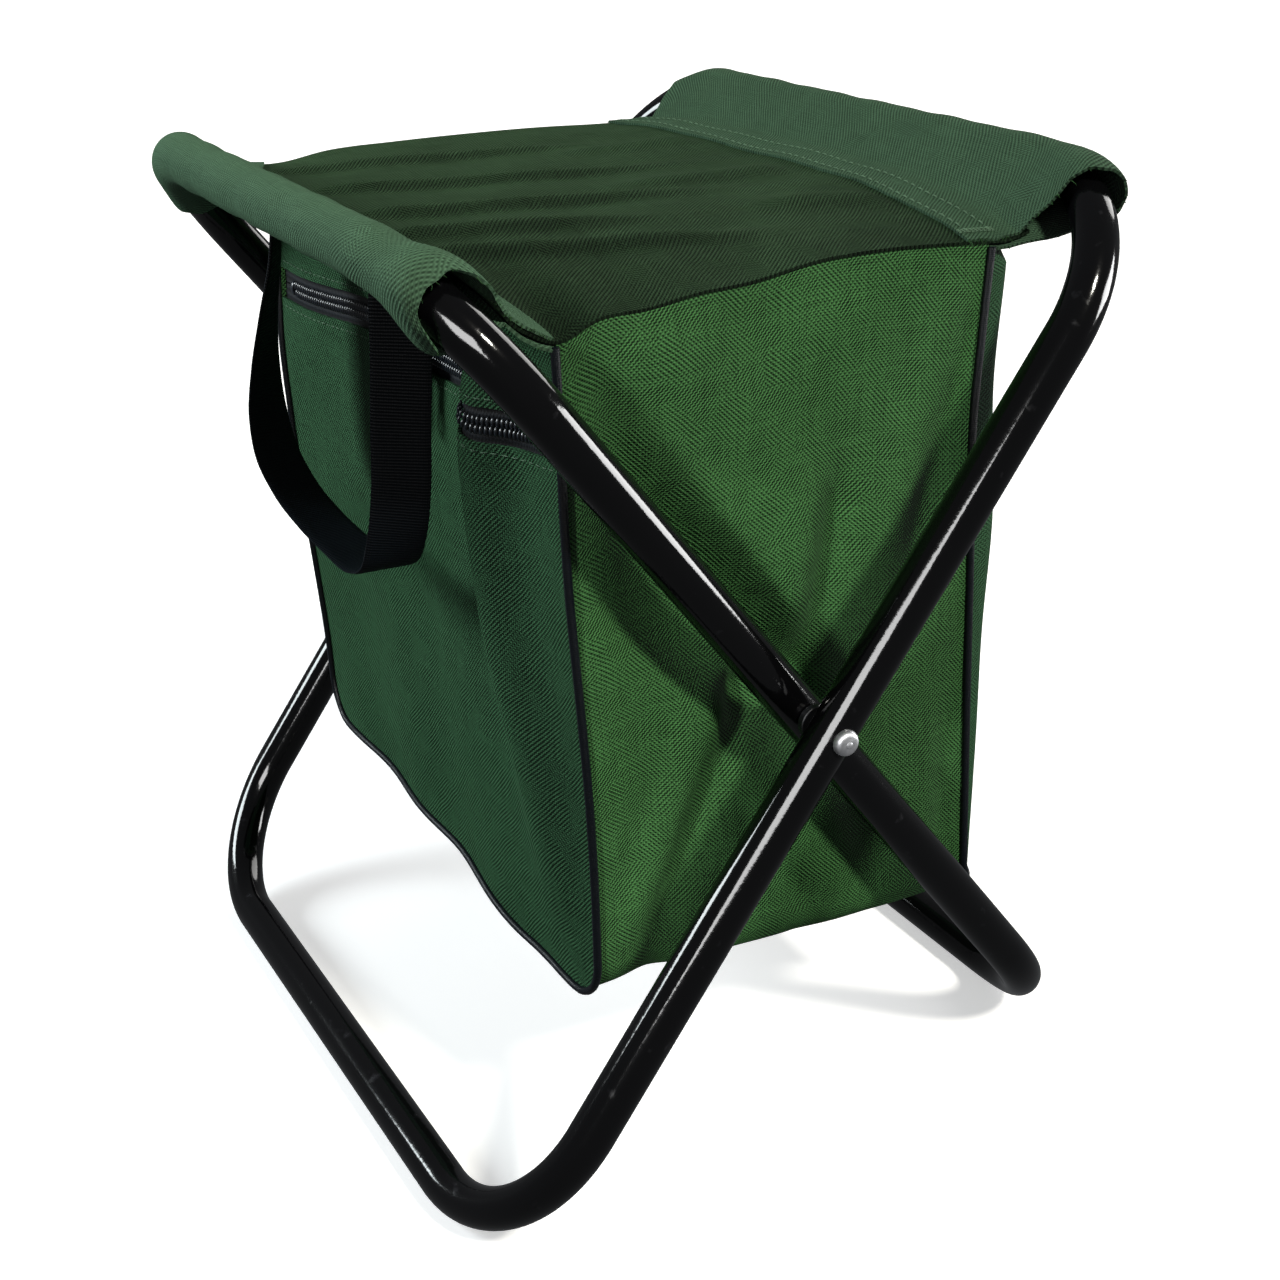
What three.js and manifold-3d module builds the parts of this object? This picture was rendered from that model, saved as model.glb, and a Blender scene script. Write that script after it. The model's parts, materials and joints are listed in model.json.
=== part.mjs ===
// Folding cooler stool: two riveted tube loops, a canvas seat and an insulated bag under it.
// Millimetres, +Z up, origin on the floor under the middle of the stool.
// X runs along the rails, -Y is the zip and handle side.

import * as THREE from 'three';
import { mergeVertices } from 'three/addons/utils/BufferGeometryUtils.js';
import Module from 'manifold-3d';

const wasm = await Module();
wasm.setup();

// Frame tubes
const TUBE_D = 16;
const TUBE_SIDES = 16;
const BEND_RADIUS = 55;
const BEND_STEPS = 8;
const OUTER_HALF_WIDTH = 159;
const LEG_GAP = 3.4;
const RAIL_HALF_SPREAD = 121.5;
const BAR_HALF_SPREAD = 127;
const RAIL_HEIGHT = 340;

// Pivot rivets and washers
const RIVET_D = 5;
const RIVET_HEAD_D = 8.6;
const RIVET_HEAD_H = 2.8;
const RIVET_TAIL_D = 7.6;
const RIVET_TAIL_H = 1.8;
const WASHER_D = 12;
const BACKING_WASHER_T = 1;
const ROUND_SIDES = 24;

// Cloth, foam and liner
const CLOTH_T = 1.2;
const FOAM_T = 3;
const LINER_T = 0.8;
const LAP_T = 1;

// Rail sleeves and their laps sewn on the seat
const SLEEVE_SLACK = 1.5;
const FRONT_SLEEVE_SHORT = 3;
const BACK_SLEEVE_LONG = 4;
const SLEEVE_STEPS = 5;
const LAP_WIDTH = 30;
const LAP_INSET = 8;
const LAP_END = 4;
const LAP_REBATE = 0.6;

// Bag under the seat
const BAG_LEG_CLEARANCE = 9.6;
const BAG_FRONT_INSET = 36;
const BAG_BACK_INSET = 28;
const BAG_DROP = 250;
const BAG_CORNER_R = 12;
const CORNER_STEPS = 5;
const PIPING_D = 3.2;
const PIPING_SIDES = 8;
const PIPING_INSET = 0.3;

// Zip
const ZIP_DROP = 46;
const ZIP_WINDOW = 12.5;
const ZIP_END_MARGIN = 6;
const CHAIN_H = 5;
const CHAIN_T = 2.4;
const CHAIN_PITCH = 3;
const TOOTH_DEPTH = 0.8;
const TAPE_W = 13;
const TAPE_T = 0.8;
const STOP_L = 3;
const STOP_H = 6.4;

// Two zip sliders and their pulls, closed where they meet
const ZIP_MEET = 18;
const SLIDER_L = 11;
const SLIDER_H = 9;
const SLIDER_NOSE_H = 6.4;
const SLIDER_T = 2.6;
const LUG_W = 2.4;
const LUG_SIZE = 3.6;
const PIN_D = 1.4;
const EAR_W = 1;
const PULL_L = 22;
const PULL_W = 6.5;
const PULL_T = 1.4;
const PULL_NECK = 3;
const PULL_SLOT_L = 7;
const PULL_SLOT_W = 2.6;

// Carrying handle of webbing
const WEBBING_W = 20;
const WEBBING_T = 1.6;
const HANDLE_HALF_SPAN = 58;
const HANDLE_LEG = 66;
const HANDLE_BOW = 44;
const HANDLE_TWIST = 38;
const HANDLE_INSET = 13;
const HANDLE_STEPS = 9;
const BOW_STEPS = 16;

// Clearances
const FIT = 0.3;
const SEAM_GAP = 0.45;

// Derived frame sizes
const tubeR = TUBE_D / 2;
const innerHalfWidth = OUTER_HALF_WIDTH - TUBE_D - LEG_GAP;
const legRise = RAIL_HEIGHT - tubeR;
const legRun = RAIL_HALF_SPREAD + BAR_HALF_SPREAD;
const legLength = Math.hypot(legRise, legRun);
const lean = Math.atan2(legRun, legRise);
const pivotZ = tubeR + (legRise * BAR_HALF_SPREAD) / legRun;
const railRadius = Math.hypot(RAIL_HALF_SPREAD, RAIL_HEIGHT - pivotZ);

// Derived sleeve and seat sizes: the seat lies inside the circle that the sleeves sweep
const sleeveInnerR = tubeR + FIT + SLEEVE_SLACK;
const sleeveOuterR = sleeveInnerR + CLOTH_T;
const sleeveReach = sleeveOuterR + SLEEVE_SLACK;
const seatTopZ = RAIL_HEIGHT - (sleeveReach + SEAM_GAP) * Math.cos(lean);
const seatEdgeY = RAIL_HALF_SPREAD - (sleeveReach + SEAM_GAP) * Math.sin(lean);
const seatUnderZ = seatTopZ - CLOTH_T;
const bagHalfX = innerHalfWidth - tubeR - BAG_LEG_CLEARANCE;
const frontSleeveHalf = bagHalfX - FRONT_SLEEVE_SHORT;
const backSleeveHalf = bagHalfX + BACK_SLEEVE_LONG;

// Derived bag sizes
const bagFrontY = -(seatEdgeY - BAG_FRONT_INSET);
const bagBackY = seatEdgeY - BAG_BACK_INSET;
const bagBottomZ = seatTopZ - BAG_DROP;
const sideInnerX = bagHalfX - CLOTH_T;
const sideFoamX = sideInnerX - FIT;
const sideFoamInnerX = sideFoamX - FOAM_T;
const sideLinerX = sideFoamInnerX - FIT;
const endHalfX = sideLinerX - LINER_T - FIT;
const bottomTopZ = bagBottomZ + CLOTH_T;
const bottomFoamZ = bottomTopZ + FIT;
const bottomLinerZ = bottomFoamZ + FOAM_T + FIT;
const endBottomZ = bottomLinerZ + LINER_T + FIT;
const topFoamZ = seatUnderZ - FIT - FOAM_T;
const topLinerZ = topFoamZ - FIT - LINER_T;
const endTopZ = topLinerZ - FIT;
const endCornerR = BAG_CORNER_R - CLOTH_T;

// Derived zip sizes
const zipZ = seatUnderZ - ZIP_DROP;
const zipHalf = endHalfX - ZIP_END_MARGIN;
const tapeFrontY = bagFrontY + CLOTH_T + FIT;
const chainBackY = tapeFrontY - FIT;
const chainFrontY = chainBackY - CHAIN_T;
const frontFoamY = tapeFrontY + TAPE_T + FIT;
const frontLinerY = frontFoamY + FOAM_T + FIT;
const chainHalf = zipHalf - STOP_L - FIT;
const sliderStep = (SLIDER_L + FIT) / 2;

// Colours of the finished object
function paint(color, roughness, metalness) {
  return new THREE.MeshStandardMaterial({ color, roughness, metalness });
}
const BLACK_COAT = paint(0x0a0b0d, 0.22, 0.2);
const STEEL = paint(0xb8bbc0, 0.3, 1);
const GREEN = paint(0x37603c, 0.85, 0);
const SEAT_GREEN = paint(0x42593a, 0.85, 0);
const SLEEVE_GREEN = paint(0x4a7359, 0.85, 0);
const NAVY_BLACK = paint(0x0d0f14, 0.7, 0);
const FOAM_WHITE = paint(0xe6e6e0, 0.95, 0);
const FOIL = paint(0xc6c9cc, 0.35, 0.6);

const stool = new THREE.Group();

function addMesh(name, geometry, material) {
  const mesh = new THREE.Mesh(geometry, material.clone());
  mesh.name = name;
  stool.add(mesh);
  return mesh;
}

// Makes the faces of a closed geometry point outwards
function outward(geometry) {
  const p = geometry.attributes.position;
  const index = geometry.index.array;
  const a = new THREE.Vector3();
  const b = new THREE.Vector3();
  const c = new THREE.Vector3();
  let volume = 0;
  for (let i = 0; i < index.length; i += 3) {
    a.fromBufferAttribute(p, index[i]);
    b.fromBufferAttribute(p, index[i + 1]);
    c.fromBufferAttribute(p, index[i + 2]);
    volume += a.dot(b.cross(c));
  }
  if (volume < 0) {
    for (let i = 0; i < index.length; i += 3) {
      [index[i + 1], index[i + 2]] = [index[i + 2], index[i + 1]];
    }
  }
  return geometry;
}

// Position-only indexed copy of a geometry
function welded(geometry) {
  const plain = geometry.clone();
  plain.deleteAttribute('normal');
  plain.deleteAttribute('uv');
  return outward(mergeVertices(plain, 1e-4));
}

function toSolid(geometry) {
  const g = welded(geometry);
  const vertProperties = new Float32Array(g.attributes.position.array);
  const triVerts = new Uint32Array(g.index.array);
  return new wasm.Manifold(new wasm.Mesh({ numProp: 3, vertProperties, triVerts }));
}

function toGeometry(solid) {
  const mesh = solid.getMesh();
  const geometry = new THREE.BufferGeometry();
  geometry.setAttribute('position', new THREE.BufferAttribute(new Float32Array(mesh.vertProperties), 3));
  geometry.setIndex(new THREE.BufferAttribute(new Uint32Array(mesh.triVerts), 1));
  return geometry;
}

// Box between two corners
function block(x0, x1, y0, y1, z0, z1) {
  const geometry = new THREE.BoxGeometry(x1 - x0, y1 - y0, z1 - z0);
  return geometry.translate((x0 + x1) / 2, (y0 + y1) / 2, (z0 + z1) / 2);
}

// Outline in X and Z, thickened from y0 to y1
function sheetXZ(shape, y0, y1) {
  const options = { depth: y1 - y0, bevelEnabled: false, curveSegments: CORNER_STEPS };
  const geometry = new THREE.ExtrudeGeometry(shape, options);
  return geometry.rotateX(Math.PI / 2).translate(0, y1, 0);
}

// Outline in X and Y, thickened from z0 to z1
function sheetXY(shape, z0, z1) {
  const geometry = new THREE.ExtrudeGeometry(shape, { depth: z1 - z0, bevelEnabled: false });
  return geometry.translate(0, 0, z0);
}

// Regular polygon with its flats at the given radius and one flat facing the angle phase
function polygon(radius, sides, phase) {
  const corner = radius / Math.cos(Math.PI / sides);
  return Array.from({ length: sides }, (_, i) => {
    const t = phase + ((i + 0.5) * 2 * Math.PI) / sides;
    return [corner * Math.cos(t), corner * Math.sin(t)];
  });
}

// Sweeps one or two nested sections along stations of a point and two axes
function sweep(sections, stations, closed) {
  const rows = stations.length;
  const count = sections[0].length;
  const positions = [];
  const index = [];
  for (const section of sections) {
    for (const s of stations) {
      for (const [u, v] of section) {
        const p = s.point.clone().addScaledVector(s.a, u).addScaledVector(s.b, v);
        positions.push(p.x, p.y, p.z);
      }
    }
  }
  const at = (layer, row, i) => layer * rows * count + (row % rows) * count + (i % count);
  for (let layer = 0; layer < sections.length; layer++) {
    for (let row = 0; row < (closed ? rows : rows - 1); row++) {
      for (let i = 0; i < count; i++) {
        const next = row + 1;
        const q = [at(layer, row, i), at(layer, row, i + 1), at(layer, next, i + 1), at(layer, next, i)];
        if (layer) q.reverse();
        index.push(q[0], q[1], q[2], q[0], q[2], q[3]);
      }
    }
  }
  if (!closed && sections.length === 2) {
    for (let i = 0; i < count; i++) {
      const start = [at(0, 0, i), at(1, 0, i), at(1, 0, i + 1), at(0, 0, i + 1)];
      const last = rows - 1;
      const end = [at(0, last, i), at(0, last, i + 1), at(1, last, i + 1), at(1, last, i)];
      for (const q of [start, end]) index.push(q[0], q[1], q[2], q[0], q[2], q[3]);
    }
  }
  if (!closed && sections.length === 1) {
    for (let i = 1; i < count - 1; i++) {
      index.push(at(0, 0, 0), at(0, 0, i + 1), at(0, 0, i));
      index.push(at(0, rows - 1, 0), at(0, rows - 1, i), at(0, rows - 1, i + 1));
    }
  }
  const geometry = new THREE.BufferGeometry();
  geometry.setAttribute('position', new THREE.Float32BufferAttribute(positions, 3));
  geometry.setIndex(index);
  return outward(geometry);
}

// Plane of one tube loop: rail on the side given by sign, legs leaning to the other side
function loopPlane(sign) {
  const down = new THREE.Vector3(0, -sign * Math.sin(lean), -Math.cos(lean));
  const normal = new THREE.Vector3(1, 0, 0).cross(down);
  const rail = new THREE.Vector3(0, sign * RAIL_HALF_SPREAD, RAIL_HEIGHT);
  return { down, normal, rail };
}

// Station of a loop at x and s, the distance down the leg, with its outward direction
function loopStation(plane, x, s, outX, outS) {
  const point = plane.rail.clone().addScaledVector(plane.down, s);
  point.x += x;
  const a = plane.down.clone().multiplyScalar(outS);
  a.x += outX;
  return { point, a, b: plane.normal };
}

// Rounded rectangle of tube centreline, one bend at a time
function loopStations(plane, halfWidth) {
  const stations = [];
  const cx = halfWidth - BEND_RADIUS;
  const corners = [[cx, BEND_RADIUS, 0], [cx, legLength - BEND_RADIUS, 1]];
  corners.push([-cx, legLength - BEND_RADIUS, 2], [-cx, BEND_RADIUS, 3]);
  for (const [x, s, quarter] of corners) {
    for (let i = 0; i <= BEND_STEPS; i++) {
      const t = ((quarter + i / BEND_STEPS) * Math.PI) / 2;
      const outX = Math.sin(t);
      const outS = -Math.cos(t);
      stations.push(loopStation(plane, x + BEND_RADIUS * outX, s + BEND_RADIUS * outS, outX, outS));
    }
  }
  return stations;
}

// Sleeve centreline: along the rail and part way round its two bends, pulled in by the slack
function sleeveStations(plane, halfWidth, halfLength) {
  const cx = halfWidth - BEND_RADIUS;
  const r = BEND_RADIUS - SLEEVE_SLACK;
  const end = Math.asin((halfLength - cx) / r);
  const angles = Array.from({ length: SLEEVE_STEPS + 1 }, (_, i) => (end * i) / SLEEVE_STEPS);
  const half = angles.map((t) => {
    const outX = Math.sin(t);
    const outS = -Math.cos(t);
    return [cx + r * outX, BEND_RADIUS + r * outS, outX, outS];
  });
  const other = half.map(([x, s, outX, outS]) => [-x, s, -outX, outS]).reverse();
  return [...other, ...half].map((v) => loopStation(plane, ...v));
}

// Tube loop with its two rivet bores, the lowest flat of the floor bar lying on the floor
function tubeLoop(sign, halfWidth) {
  const plane = loopPlane(sign);
  const section = polygon(tubeR, TUBE_SIDES, sign * lean);
  let solid = toSolid(sweep([section], loopStations(plane, halfWidth), true));
  for (const side of [1, -1]) {
    const bore = new THREE.CylinderGeometry(RIVET_D / 2 + FIT, RIVET_D / 2 + FIT, 2 * TUBE_D, ROUND_SIDES);
    bore.rotateZ(-Math.PI / 2).translate(side * halfWidth, 0, pivotZ);
    solid = solid.subtract(toSolid(bore));
  }
  return toGeometry(solid);
}

function railSleeve(sign, halfWidth, halfLength) {
  const outer = polygon(sleeveOuterR, TUBE_SIDES, sign * lean);
  const inner = polygon(sleeveInnerR, TUBE_SIDES, sign * lean);
  return sweep([outer, inner], sleeveStations(loopPlane(sign), halfWidth, halfLength), false);
}

addMesh('outer_frame_tube', tubeLoop(1, OUTER_HALF_WIDTH), BLACK_COAT);
addMesh('inner_frame_tube', tubeLoop(-1, innerHalfWidth), BLACK_COAT);
addMesh('back_sleeve', railSleeve(1, OUTER_HALF_WIDTH, backSleeveHalf), SLEEVE_GREEN);
addMesh('front_sleeve', railSleeve(-1, innerHalfWidth, frontSleeveHalf), SLEEVE_GREEN);

// Turned piece on the rivet axis, given as radius and distance from the middle plane
function turned(profile, side) {
  const points = profile.map(([r, a]) => new THREE.Vector2(r, a));
  const geometry = welded(new THREE.LatheGeometry(points, ROUND_SIDES));
  return geometry.rotateZ((-side * Math.PI) / 2).translate(0, 0, pivotZ);
}

const legInsideX = innerHalfWidth - tubeR;
const backingX = legInsideX - FIT - BACKING_WASHER_T;
const tailX = backingX - FIT;
const headX = OUTER_HALF_WIDTH + tubeR + FIT;
const headR = RIVET_HEAD_D / 2;
const domeSteps = 5;
const dome = Array.from({ length: domeSteps }, (_, i) => {
  const t = ((i + 1) * Math.PI) / 2 / domeSteps;
  return [i === domeSteps - 1 ? 0 : headR * Math.cos(t), headX + RIVET_HEAD_H * Math.sin(t)];
});
const rivetProfile = [
  [0, tailX - RIVET_TAIL_H],
  [RIVET_TAIL_D / 2 - RIVET_TAIL_H / 3, tailX - RIVET_TAIL_H],
  [RIVET_TAIL_D / 2, tailX - RIVET_TAIL_H / 2],
  [RIVET_TAIL_D / 2, tailX],
  [RIVET_D / 2, tailX],
  [RIVET_D / 2, headX],
  [headR, headX],
  ...dome,
];

function washerProfile(a0, a1) {
  const bore = RIVET_D / 2 + FIT;
  const rim = WASHER_D / 2;
  return [[bore, a0], [rim, a0], [rim, a1], [bore, a1], [bore, a0]];
}

const spacer = washerProfile(innerHalfWidth + tubeR + FIT, OUTER_HALF_WIDTH - tubeR - FIT);
const backing = washerProfile(backingX, backingX + BACKING_WASHER_T);
for (const [label, side] of [['right', 1], ['left', -1]]) {
  addMesh(`pivot_rivet_${label}`, turned(rivetProfile, side), STEEL);
  addMesh(`spacer_washer_${label}`, turned(spacer, side), STEEL);
  addMesh(`backing_washer_${label}`, turned(backing, side), STEEL);
}

// How far below its rail a loop, or the sleeve on it, reaches in its own plane at a given x
function depthBelowRail(x, halfWidth, reach) {
  const past = Math.max(Math.abs(x) - (halfWidth - BEND_RADIUS), 0);
  const r = BEND_RADIUS - reach;
  return BEND_RADIUS - Math.sqrt(Math.max(r * r - past * past, 0));
}

// Widest y at which cloth at height z stays clear of the folding loop
function sweptEdge(x, z, halfWidth, sleeveHalf) {
  const reach = Math.abs(x) <= sleeveHalf + FIT ? sleeveReach : tubeR;
  const r = railRadius - depthBelowRail(x, halfWidth, reach) - SEAM_GAP;
  const h = z - pivotZ;
  return Math.sqrt(Math.max(r * r - h * h, 0));
}

// Widest x at which cloth at y and z stays clear of the folding sleeve
function sweptHalfX(y, z, halfWidth) {
  const rise = BEND_RADIUS - railRadius + SEAM_GAP + Math.hypot(y, z - pivotZ);
  const r = BEND_RADIUS - sleeveReach;
  return halfWidth - BEND_RADIUS + Math.sqrt(Math.max(r * r - rise * rise, 0));
}

// Points of one long edge of a seat layer, from left to right
function clothEdge(z, halfX, halfWidth, sleeveHalf, widest) {
  const straight = halfWidth - BEND_RADIUS;
  const turn = Math.min(sleeveHalf, halfX);
  const xs = [halfX];
  for (let i = CORNER_STEPS; i >= 0; i--) xs.push(straight + ((turn - straight) * i) / CORNER_STEPS);
  const right = xs.filter((x, i) => i === 0 || x < halfX - FIT).reverse();
  const least = sweptEdge(turn, z, halfWidth, sleeveHalf);
  const reach = (x) => (x > turn ? least : sweptEdge(x, z, halfWidth, sleeveHalf));
  const edge = right.map((x) => [x, Math.min(reach(x), widest)]);
  return [...edge.map(([x, y]) => [-x, y]).reverse(), ...edge];
}

function outline(points) {
  return new THREE.Shape(points.map(([x, y]) => new THREE.Vector2(x, y)));
}

const frontEdge = clothEdge(seatTopZ, bagHalfX, innerHalfWidth, frontSleeveHalf, seatEdgeY);
const backEdge = clothEdge(seatTopZ, bagHalfX, OUTER_HALF_WIDTH, backSleeveHalf, seatEdgeY);
const seatOutline = [...frontEdge.map(([x, y]) => [x, -y]), ...backEdge.reverse()];
const lapOuterY = seatEdgeY - LAP_INSET;
const lapInnerY = lapOuterY - LAP_WIDTH;
const rebateZ = seatTopZ - LAP_REBATE;

// Seat cloth, pressed thinner under the back lap
function seatPanel() {
  const plate = toSolid(sheetXY(outline(seatOutline), seatUnderZ, seatTopZ));
  const reach = 2 * bagHalfX;
  const rebate = block(-reach, reach, lapInnerY - FIT, 2 * seatEdgeY, rebateZ, seatTopZ + CLOTH_T);
  return toGeometry(plate.subtract(toSolid(rebate)));
}
addMesh('seat_panel', seatPanel(), SEAT_GREEN);

// Laps of the two sleeves: the back one double-stitched on top of the seat, the front one under it
function sleeveLap(sign, halfWidth, sleeveHalf, lapZ, innerY) {
  const room = sweptHalfX(innerY + LAP_END, lapZ + LAP_T, halfWidth);
  const halfX = Math.min(sleeveHalf, bagHalfX, room) - FIT;
  const edge = clothEdge(lapZ + LAP_T, halfX, halfWidth, sleeveHalf, lapOuterY);
  const points = edge.map(([x, y]) => [x, sign * y]);
  points.push([halfX, sign * innerY], [-halfX, sign * innerY]);
  return sheetXY(outline(points), lapZ, lapZ + LAP_T);
}
const frontLapZ = seatUnderZ - FIT - LAP_T;
const frontLap = sleeveLap(-1, innerHalfWidth, frontSleeveHalf, frontLapZ, FIT - bagFrontY);
const backLap = sleeveLap(1, OUTER_HALF_WIDTH, backSleeveHalf, rebateZ + FIT, lapInnerY);
addMesh('front_sleeve_lap', frontLap, SLEEVE_GREEN);
addMesh('back_sleeve_lap', backLap, SLEEVE_GREEN);

// Side panel: straight down from the seat, then turned under with a rounded corner
function sidePanel(side) {
  const shape = new THREE.Shape();
  const turn = bagHalfX - BAG_CORNER_R;
  shape.moveTo(bagHalfX, seatUnderZ - FIT);
  shape.lineTo(sideInnerX, seatUnderZ - FIT);
  shape.lineTo(sideInnerX, bagBottomZ + BAG_CORNER_R);
  shape.absarc(turn, bagBottomZ + BAG_CORNER_R, endCornerR, 0, -Math.PI / 2, true);
  shape.lineTo(turn, bagBottomZ);
  shape.absarc(turn, bagBottomZ + BAG_CORNER_R, BAG_CORNER_R, -Math.PI / 2, 0, false);
  const geometry = welded(sheetXZ(shape, bagFrontY, bagBackY));
  return side > 0 ? geometry : outward(geometry.scale(-1, 1, 1));
}

const boardBottomZ = bagBottomZ + BAG_CORNER_R;
for (const [label, side] of [['right', 1], ['left', -1]]) {
  addMesh(`side_panel_${label}`, sidePanel(side), GREEN);
  const foamX = [side * sideFoamX, side * sideFoamInnerX].sort((a, b) => a - b);
  addMesh(`foam_${label}`, block(...foamX, bagFrontY, bagBackY, boardBottomZ, endTopZ), FOAM_WHITE);
  const linerX = [side * sideLinerX, side * (sideLinerX - LINER_T)].sort((a, b) => a - b);
  addMesh(`liner_${label}`, block(...linerX, bagFrontY, bagBackY, endBottomZ, endTopZ), FOIL);
}
const bottomHalfX = bagHalfX - BAG_CORNER_R - FIT;

// Level sheet of the bag, from its front to its back
function levelSheet(halfX, z, thickness) {
  return block(-halfX, halfX, bagFrontY, bagBackY, z, z + thickness);
}
addMesh('bottom_panel', levelSheet(bottomHalfX, bagBottomZ, CLOTH_T), GREEN);
addMesh('foam_bottom', levelSheet(bottomHalfX, bottomFoamZ, FOAM_T), FOAM_WHITE);
addMesh('liner_bottom', levelSheet(sideLinerX, bottomLinerZ, LINER_T), FOIL);
addMesh('foam_seat', levelSheet(sideFoamX, topFoamZ, FOAM_T), FOAM_WHITE);
addMesh('liner_seat', levelSheet(sideFoamX, topLinerZ, LINER_T), FOIL);

// End panel outline with rounded lower corners, up to a given height
function endOutline(topZ) {
  const shape = new THREE.Shape();
  const turn = endHalfX - endCornerR;
  shape.moveTo(endHalfX, topZ);
  shape.lineTo(-endHalfX, topZ);
  shape.lineTo(-endHalfX, endBottomZ + endCornerR);
  shape.absarc(-turn, endBottomZ + endCornerR, endCornerR, Math.PI, 1.5 * Math.PI, false);
  shape.absarc(turn, endBottomZ + endCornerR, endCornerR, 1.5 * Math.PI, 2 * Math.PI, false);
  return shape;
}

// Piping cord down one side, round both lower corners and up the other side
function piping(y) {
  const r = PIPING_D / 2;
  const x = endHalfX - PIPING_INSET - r;
  const low = endBottomZ + PIPING_INSET + r;
  const bend = endCornerR - PIPING_INSET - r;
  const b = new THREE.Vector3(0, 1, 0);
  const put = (px, pz, ax, az) => {
    return { point: new THREE.Vector3(px, y, pz), a: new THREE.Vector3(ax, 0, az), b };
  };
  const stations = [put(x, endTopZ, 1, 0)];
  for (let i = 0; i <= CORNER_STEPS; i++) {
    const t = (i / CORNER_STEPS) * (Math.PI / 2);
    const ax = Math.cos(t);
    const az = -Math.sin(t);
    stations.push(put(x - bend + bend * ax, low + bend + bend * az, ax, az));
  }
  const other = stations.map(({ point, a }) => put(-point.x, point.z, -a.x, a.z)).reverse();
  return sweep([polygon(r, PIPING_SIDES, 0)], [...stations, ...other], false);
}

const pipingStep = FIT + PIPING_D / 2;
const windowHalf = ZIP_WINDOW / 2;
addMesh('front_panel', sheetXZ(endOutline(zipZ - windowHalf), bagFrontY, bagFrontY + CLOTH_T), GREEN);
const flap = [-endHalfX, endHalfX, bagFrontY, bagFrontY + CLOTH_T, zipZ + windowHalf, endTopZ];
addMesh('front_flap', block(...flap), GREEN);
addMesh('front_piping', piping(bagFrontY - pipingStep), NAVY_BLACK);
const foamTopZ = zipZ - FIT;
addMesh('foam_front', sheetXZ(endOutline(foamTopZ), frontFoamY, frontFoamY + FOAM_T), FOAM_WHITE);
addMesh('liner_front', sheetXZ(endOutline(foamTopZ), frontLinerY, frontLinerY + LINER_T), FOIL);

const backFoamY = bagBackY - CLOTH_T - FIT - FOAM_T;
const backLinerY = backFoamY - FIT - LINER_T;
addMesh('back_panel', sheetXZ(endOutline(endTopZ), bagBackY - CLOTH_T, bagBackY), GREEN);
addMesh('back_piping', piping(bagBackY + pipingStep), NAVY_BLACK);
addMesh('foam_back', sheetXZ(endOutline(endTopZ), backFoamY, backFoamY + FOAM_T), FOAM_WHITE);
addMesh('liner_back', sheetXZ(endOutline(endTopZ), backLinerY, backLinerY + LINER_T), FOIL);

// Zip tapes behind the edges of the window, meeting at the middle of the chain
const tapeBackY = tapeFrontY + TAPE_T;
const tapeGap = FIT / 2;
const upperTape = block(-zipHalf, zipHalf, tapeFrontY, tapeBackY, zipZ + tapeGap, zipZ + TAPE_W);
const lowerTape = block(-zipHalf, zipHalf, tapeFrontY, tapeBackY, zipZ - TAPE_W, zipZ - tapeGap);
addMesh('zip_tape_upper', upperTape, NAVY_BLACK);
addMesh('zip_tape_lower', lowerTape, NAVY_BLACK);

// Closed coil chain: a row of teeth along the front of a strip
function zipChain() {
  const count = Math.floor((2 * chainHalf) / CHAIN_PITCH);
  const pitch = (2 * chainHalf) / count;
  const valleyY = chainFrontY + TOOTH_DEPTH;
  const points = [[-chainHalf, chainBackY], [-chainHalf, valleyY]];
  for (let i = 0; i < count; i++) {
    const x = -chainHalf + i * pitch;
    points.push([x + 0.2 * pitch, valleyY], [x + 0.35 * pitch, chainFrontY]);
    points.push([x + 0.65 * pitch, chainFrontY], [x + 0.8 * pitch, valleyY]);
  }
  points.push([chainHalf, valleyY], [chainHalf, chainBackY]);
  return sheetXY(outline(points), zipZ - CHAIN_H / 2, zipZ + CHAIN_H / 2);
}
addMesh('zip_chain', zipChain(), NAVY_BLACK);
for (const [label, side] of [['right', 1], ['left', -1]]) {
  const stopX = [side * zipHalf, side * (zipHalf - STOP_L)].sort((a, b) => a - b);
  const stop = block(...stopX, chainFrontY, chainBackY, zipZ - STOP_H / 2, zipZ + STOP_H / 2);
  addMesh(`zip_stop_${label}`, stop, NAVY_BLACK);
}

// A slider and its pull share an origin on the front of the chain
const sliderFaceY = -FIT - SLIDER_T;
const pinY = sliderFaceY - LUG_SIZE / 2;

function crossPin(diameter, length) {
  const pin = new THREE.CylinderGeometry(diameter / 2, diameter / 2, length, ROUND_SIDES / 2);
  return pin.rotateZ(Math.PI / 2).translate(0, pinY, 0);
}

// The narrow end of a slider points away from the other slider
function zipSlider(side) {
  const l = SLIDER_L / 2;
  const h = SLIDER_H / 2;
  const n = SLIDER_NOSE_H / 2;
  const below = [[-l, -h * 0.8], [l / 3, -h], [l, -n]];
  const above = [[l, n], [l / 3, h], [-l, h * 0.8]];
  const corners = [...below, ...above].map(([x, z]) => [side * x, z]);
  const plan = outline(side > 0 ? corners : corners.reverse());
  const body = toSolid(sheetXZ(plan, sliderFaceY, -FIT));
  const lugHalf = LUG_W / 2;
  const lugTop = LUG_SIZE / 2;
  const root = sliderFaceY + SLIDER_T / 2;
  const lug = toSolid(block(-lugHalf, lugHalf, sliderFaceY - LUG_SIZE, root, -lugTop, lugTop));
  const hole = toSolid(crossPin(PIN_D + 2 * FIT, 2 * LUG_W));
  return toGeometry(body.add(lug).subtract(hole));
}

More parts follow.
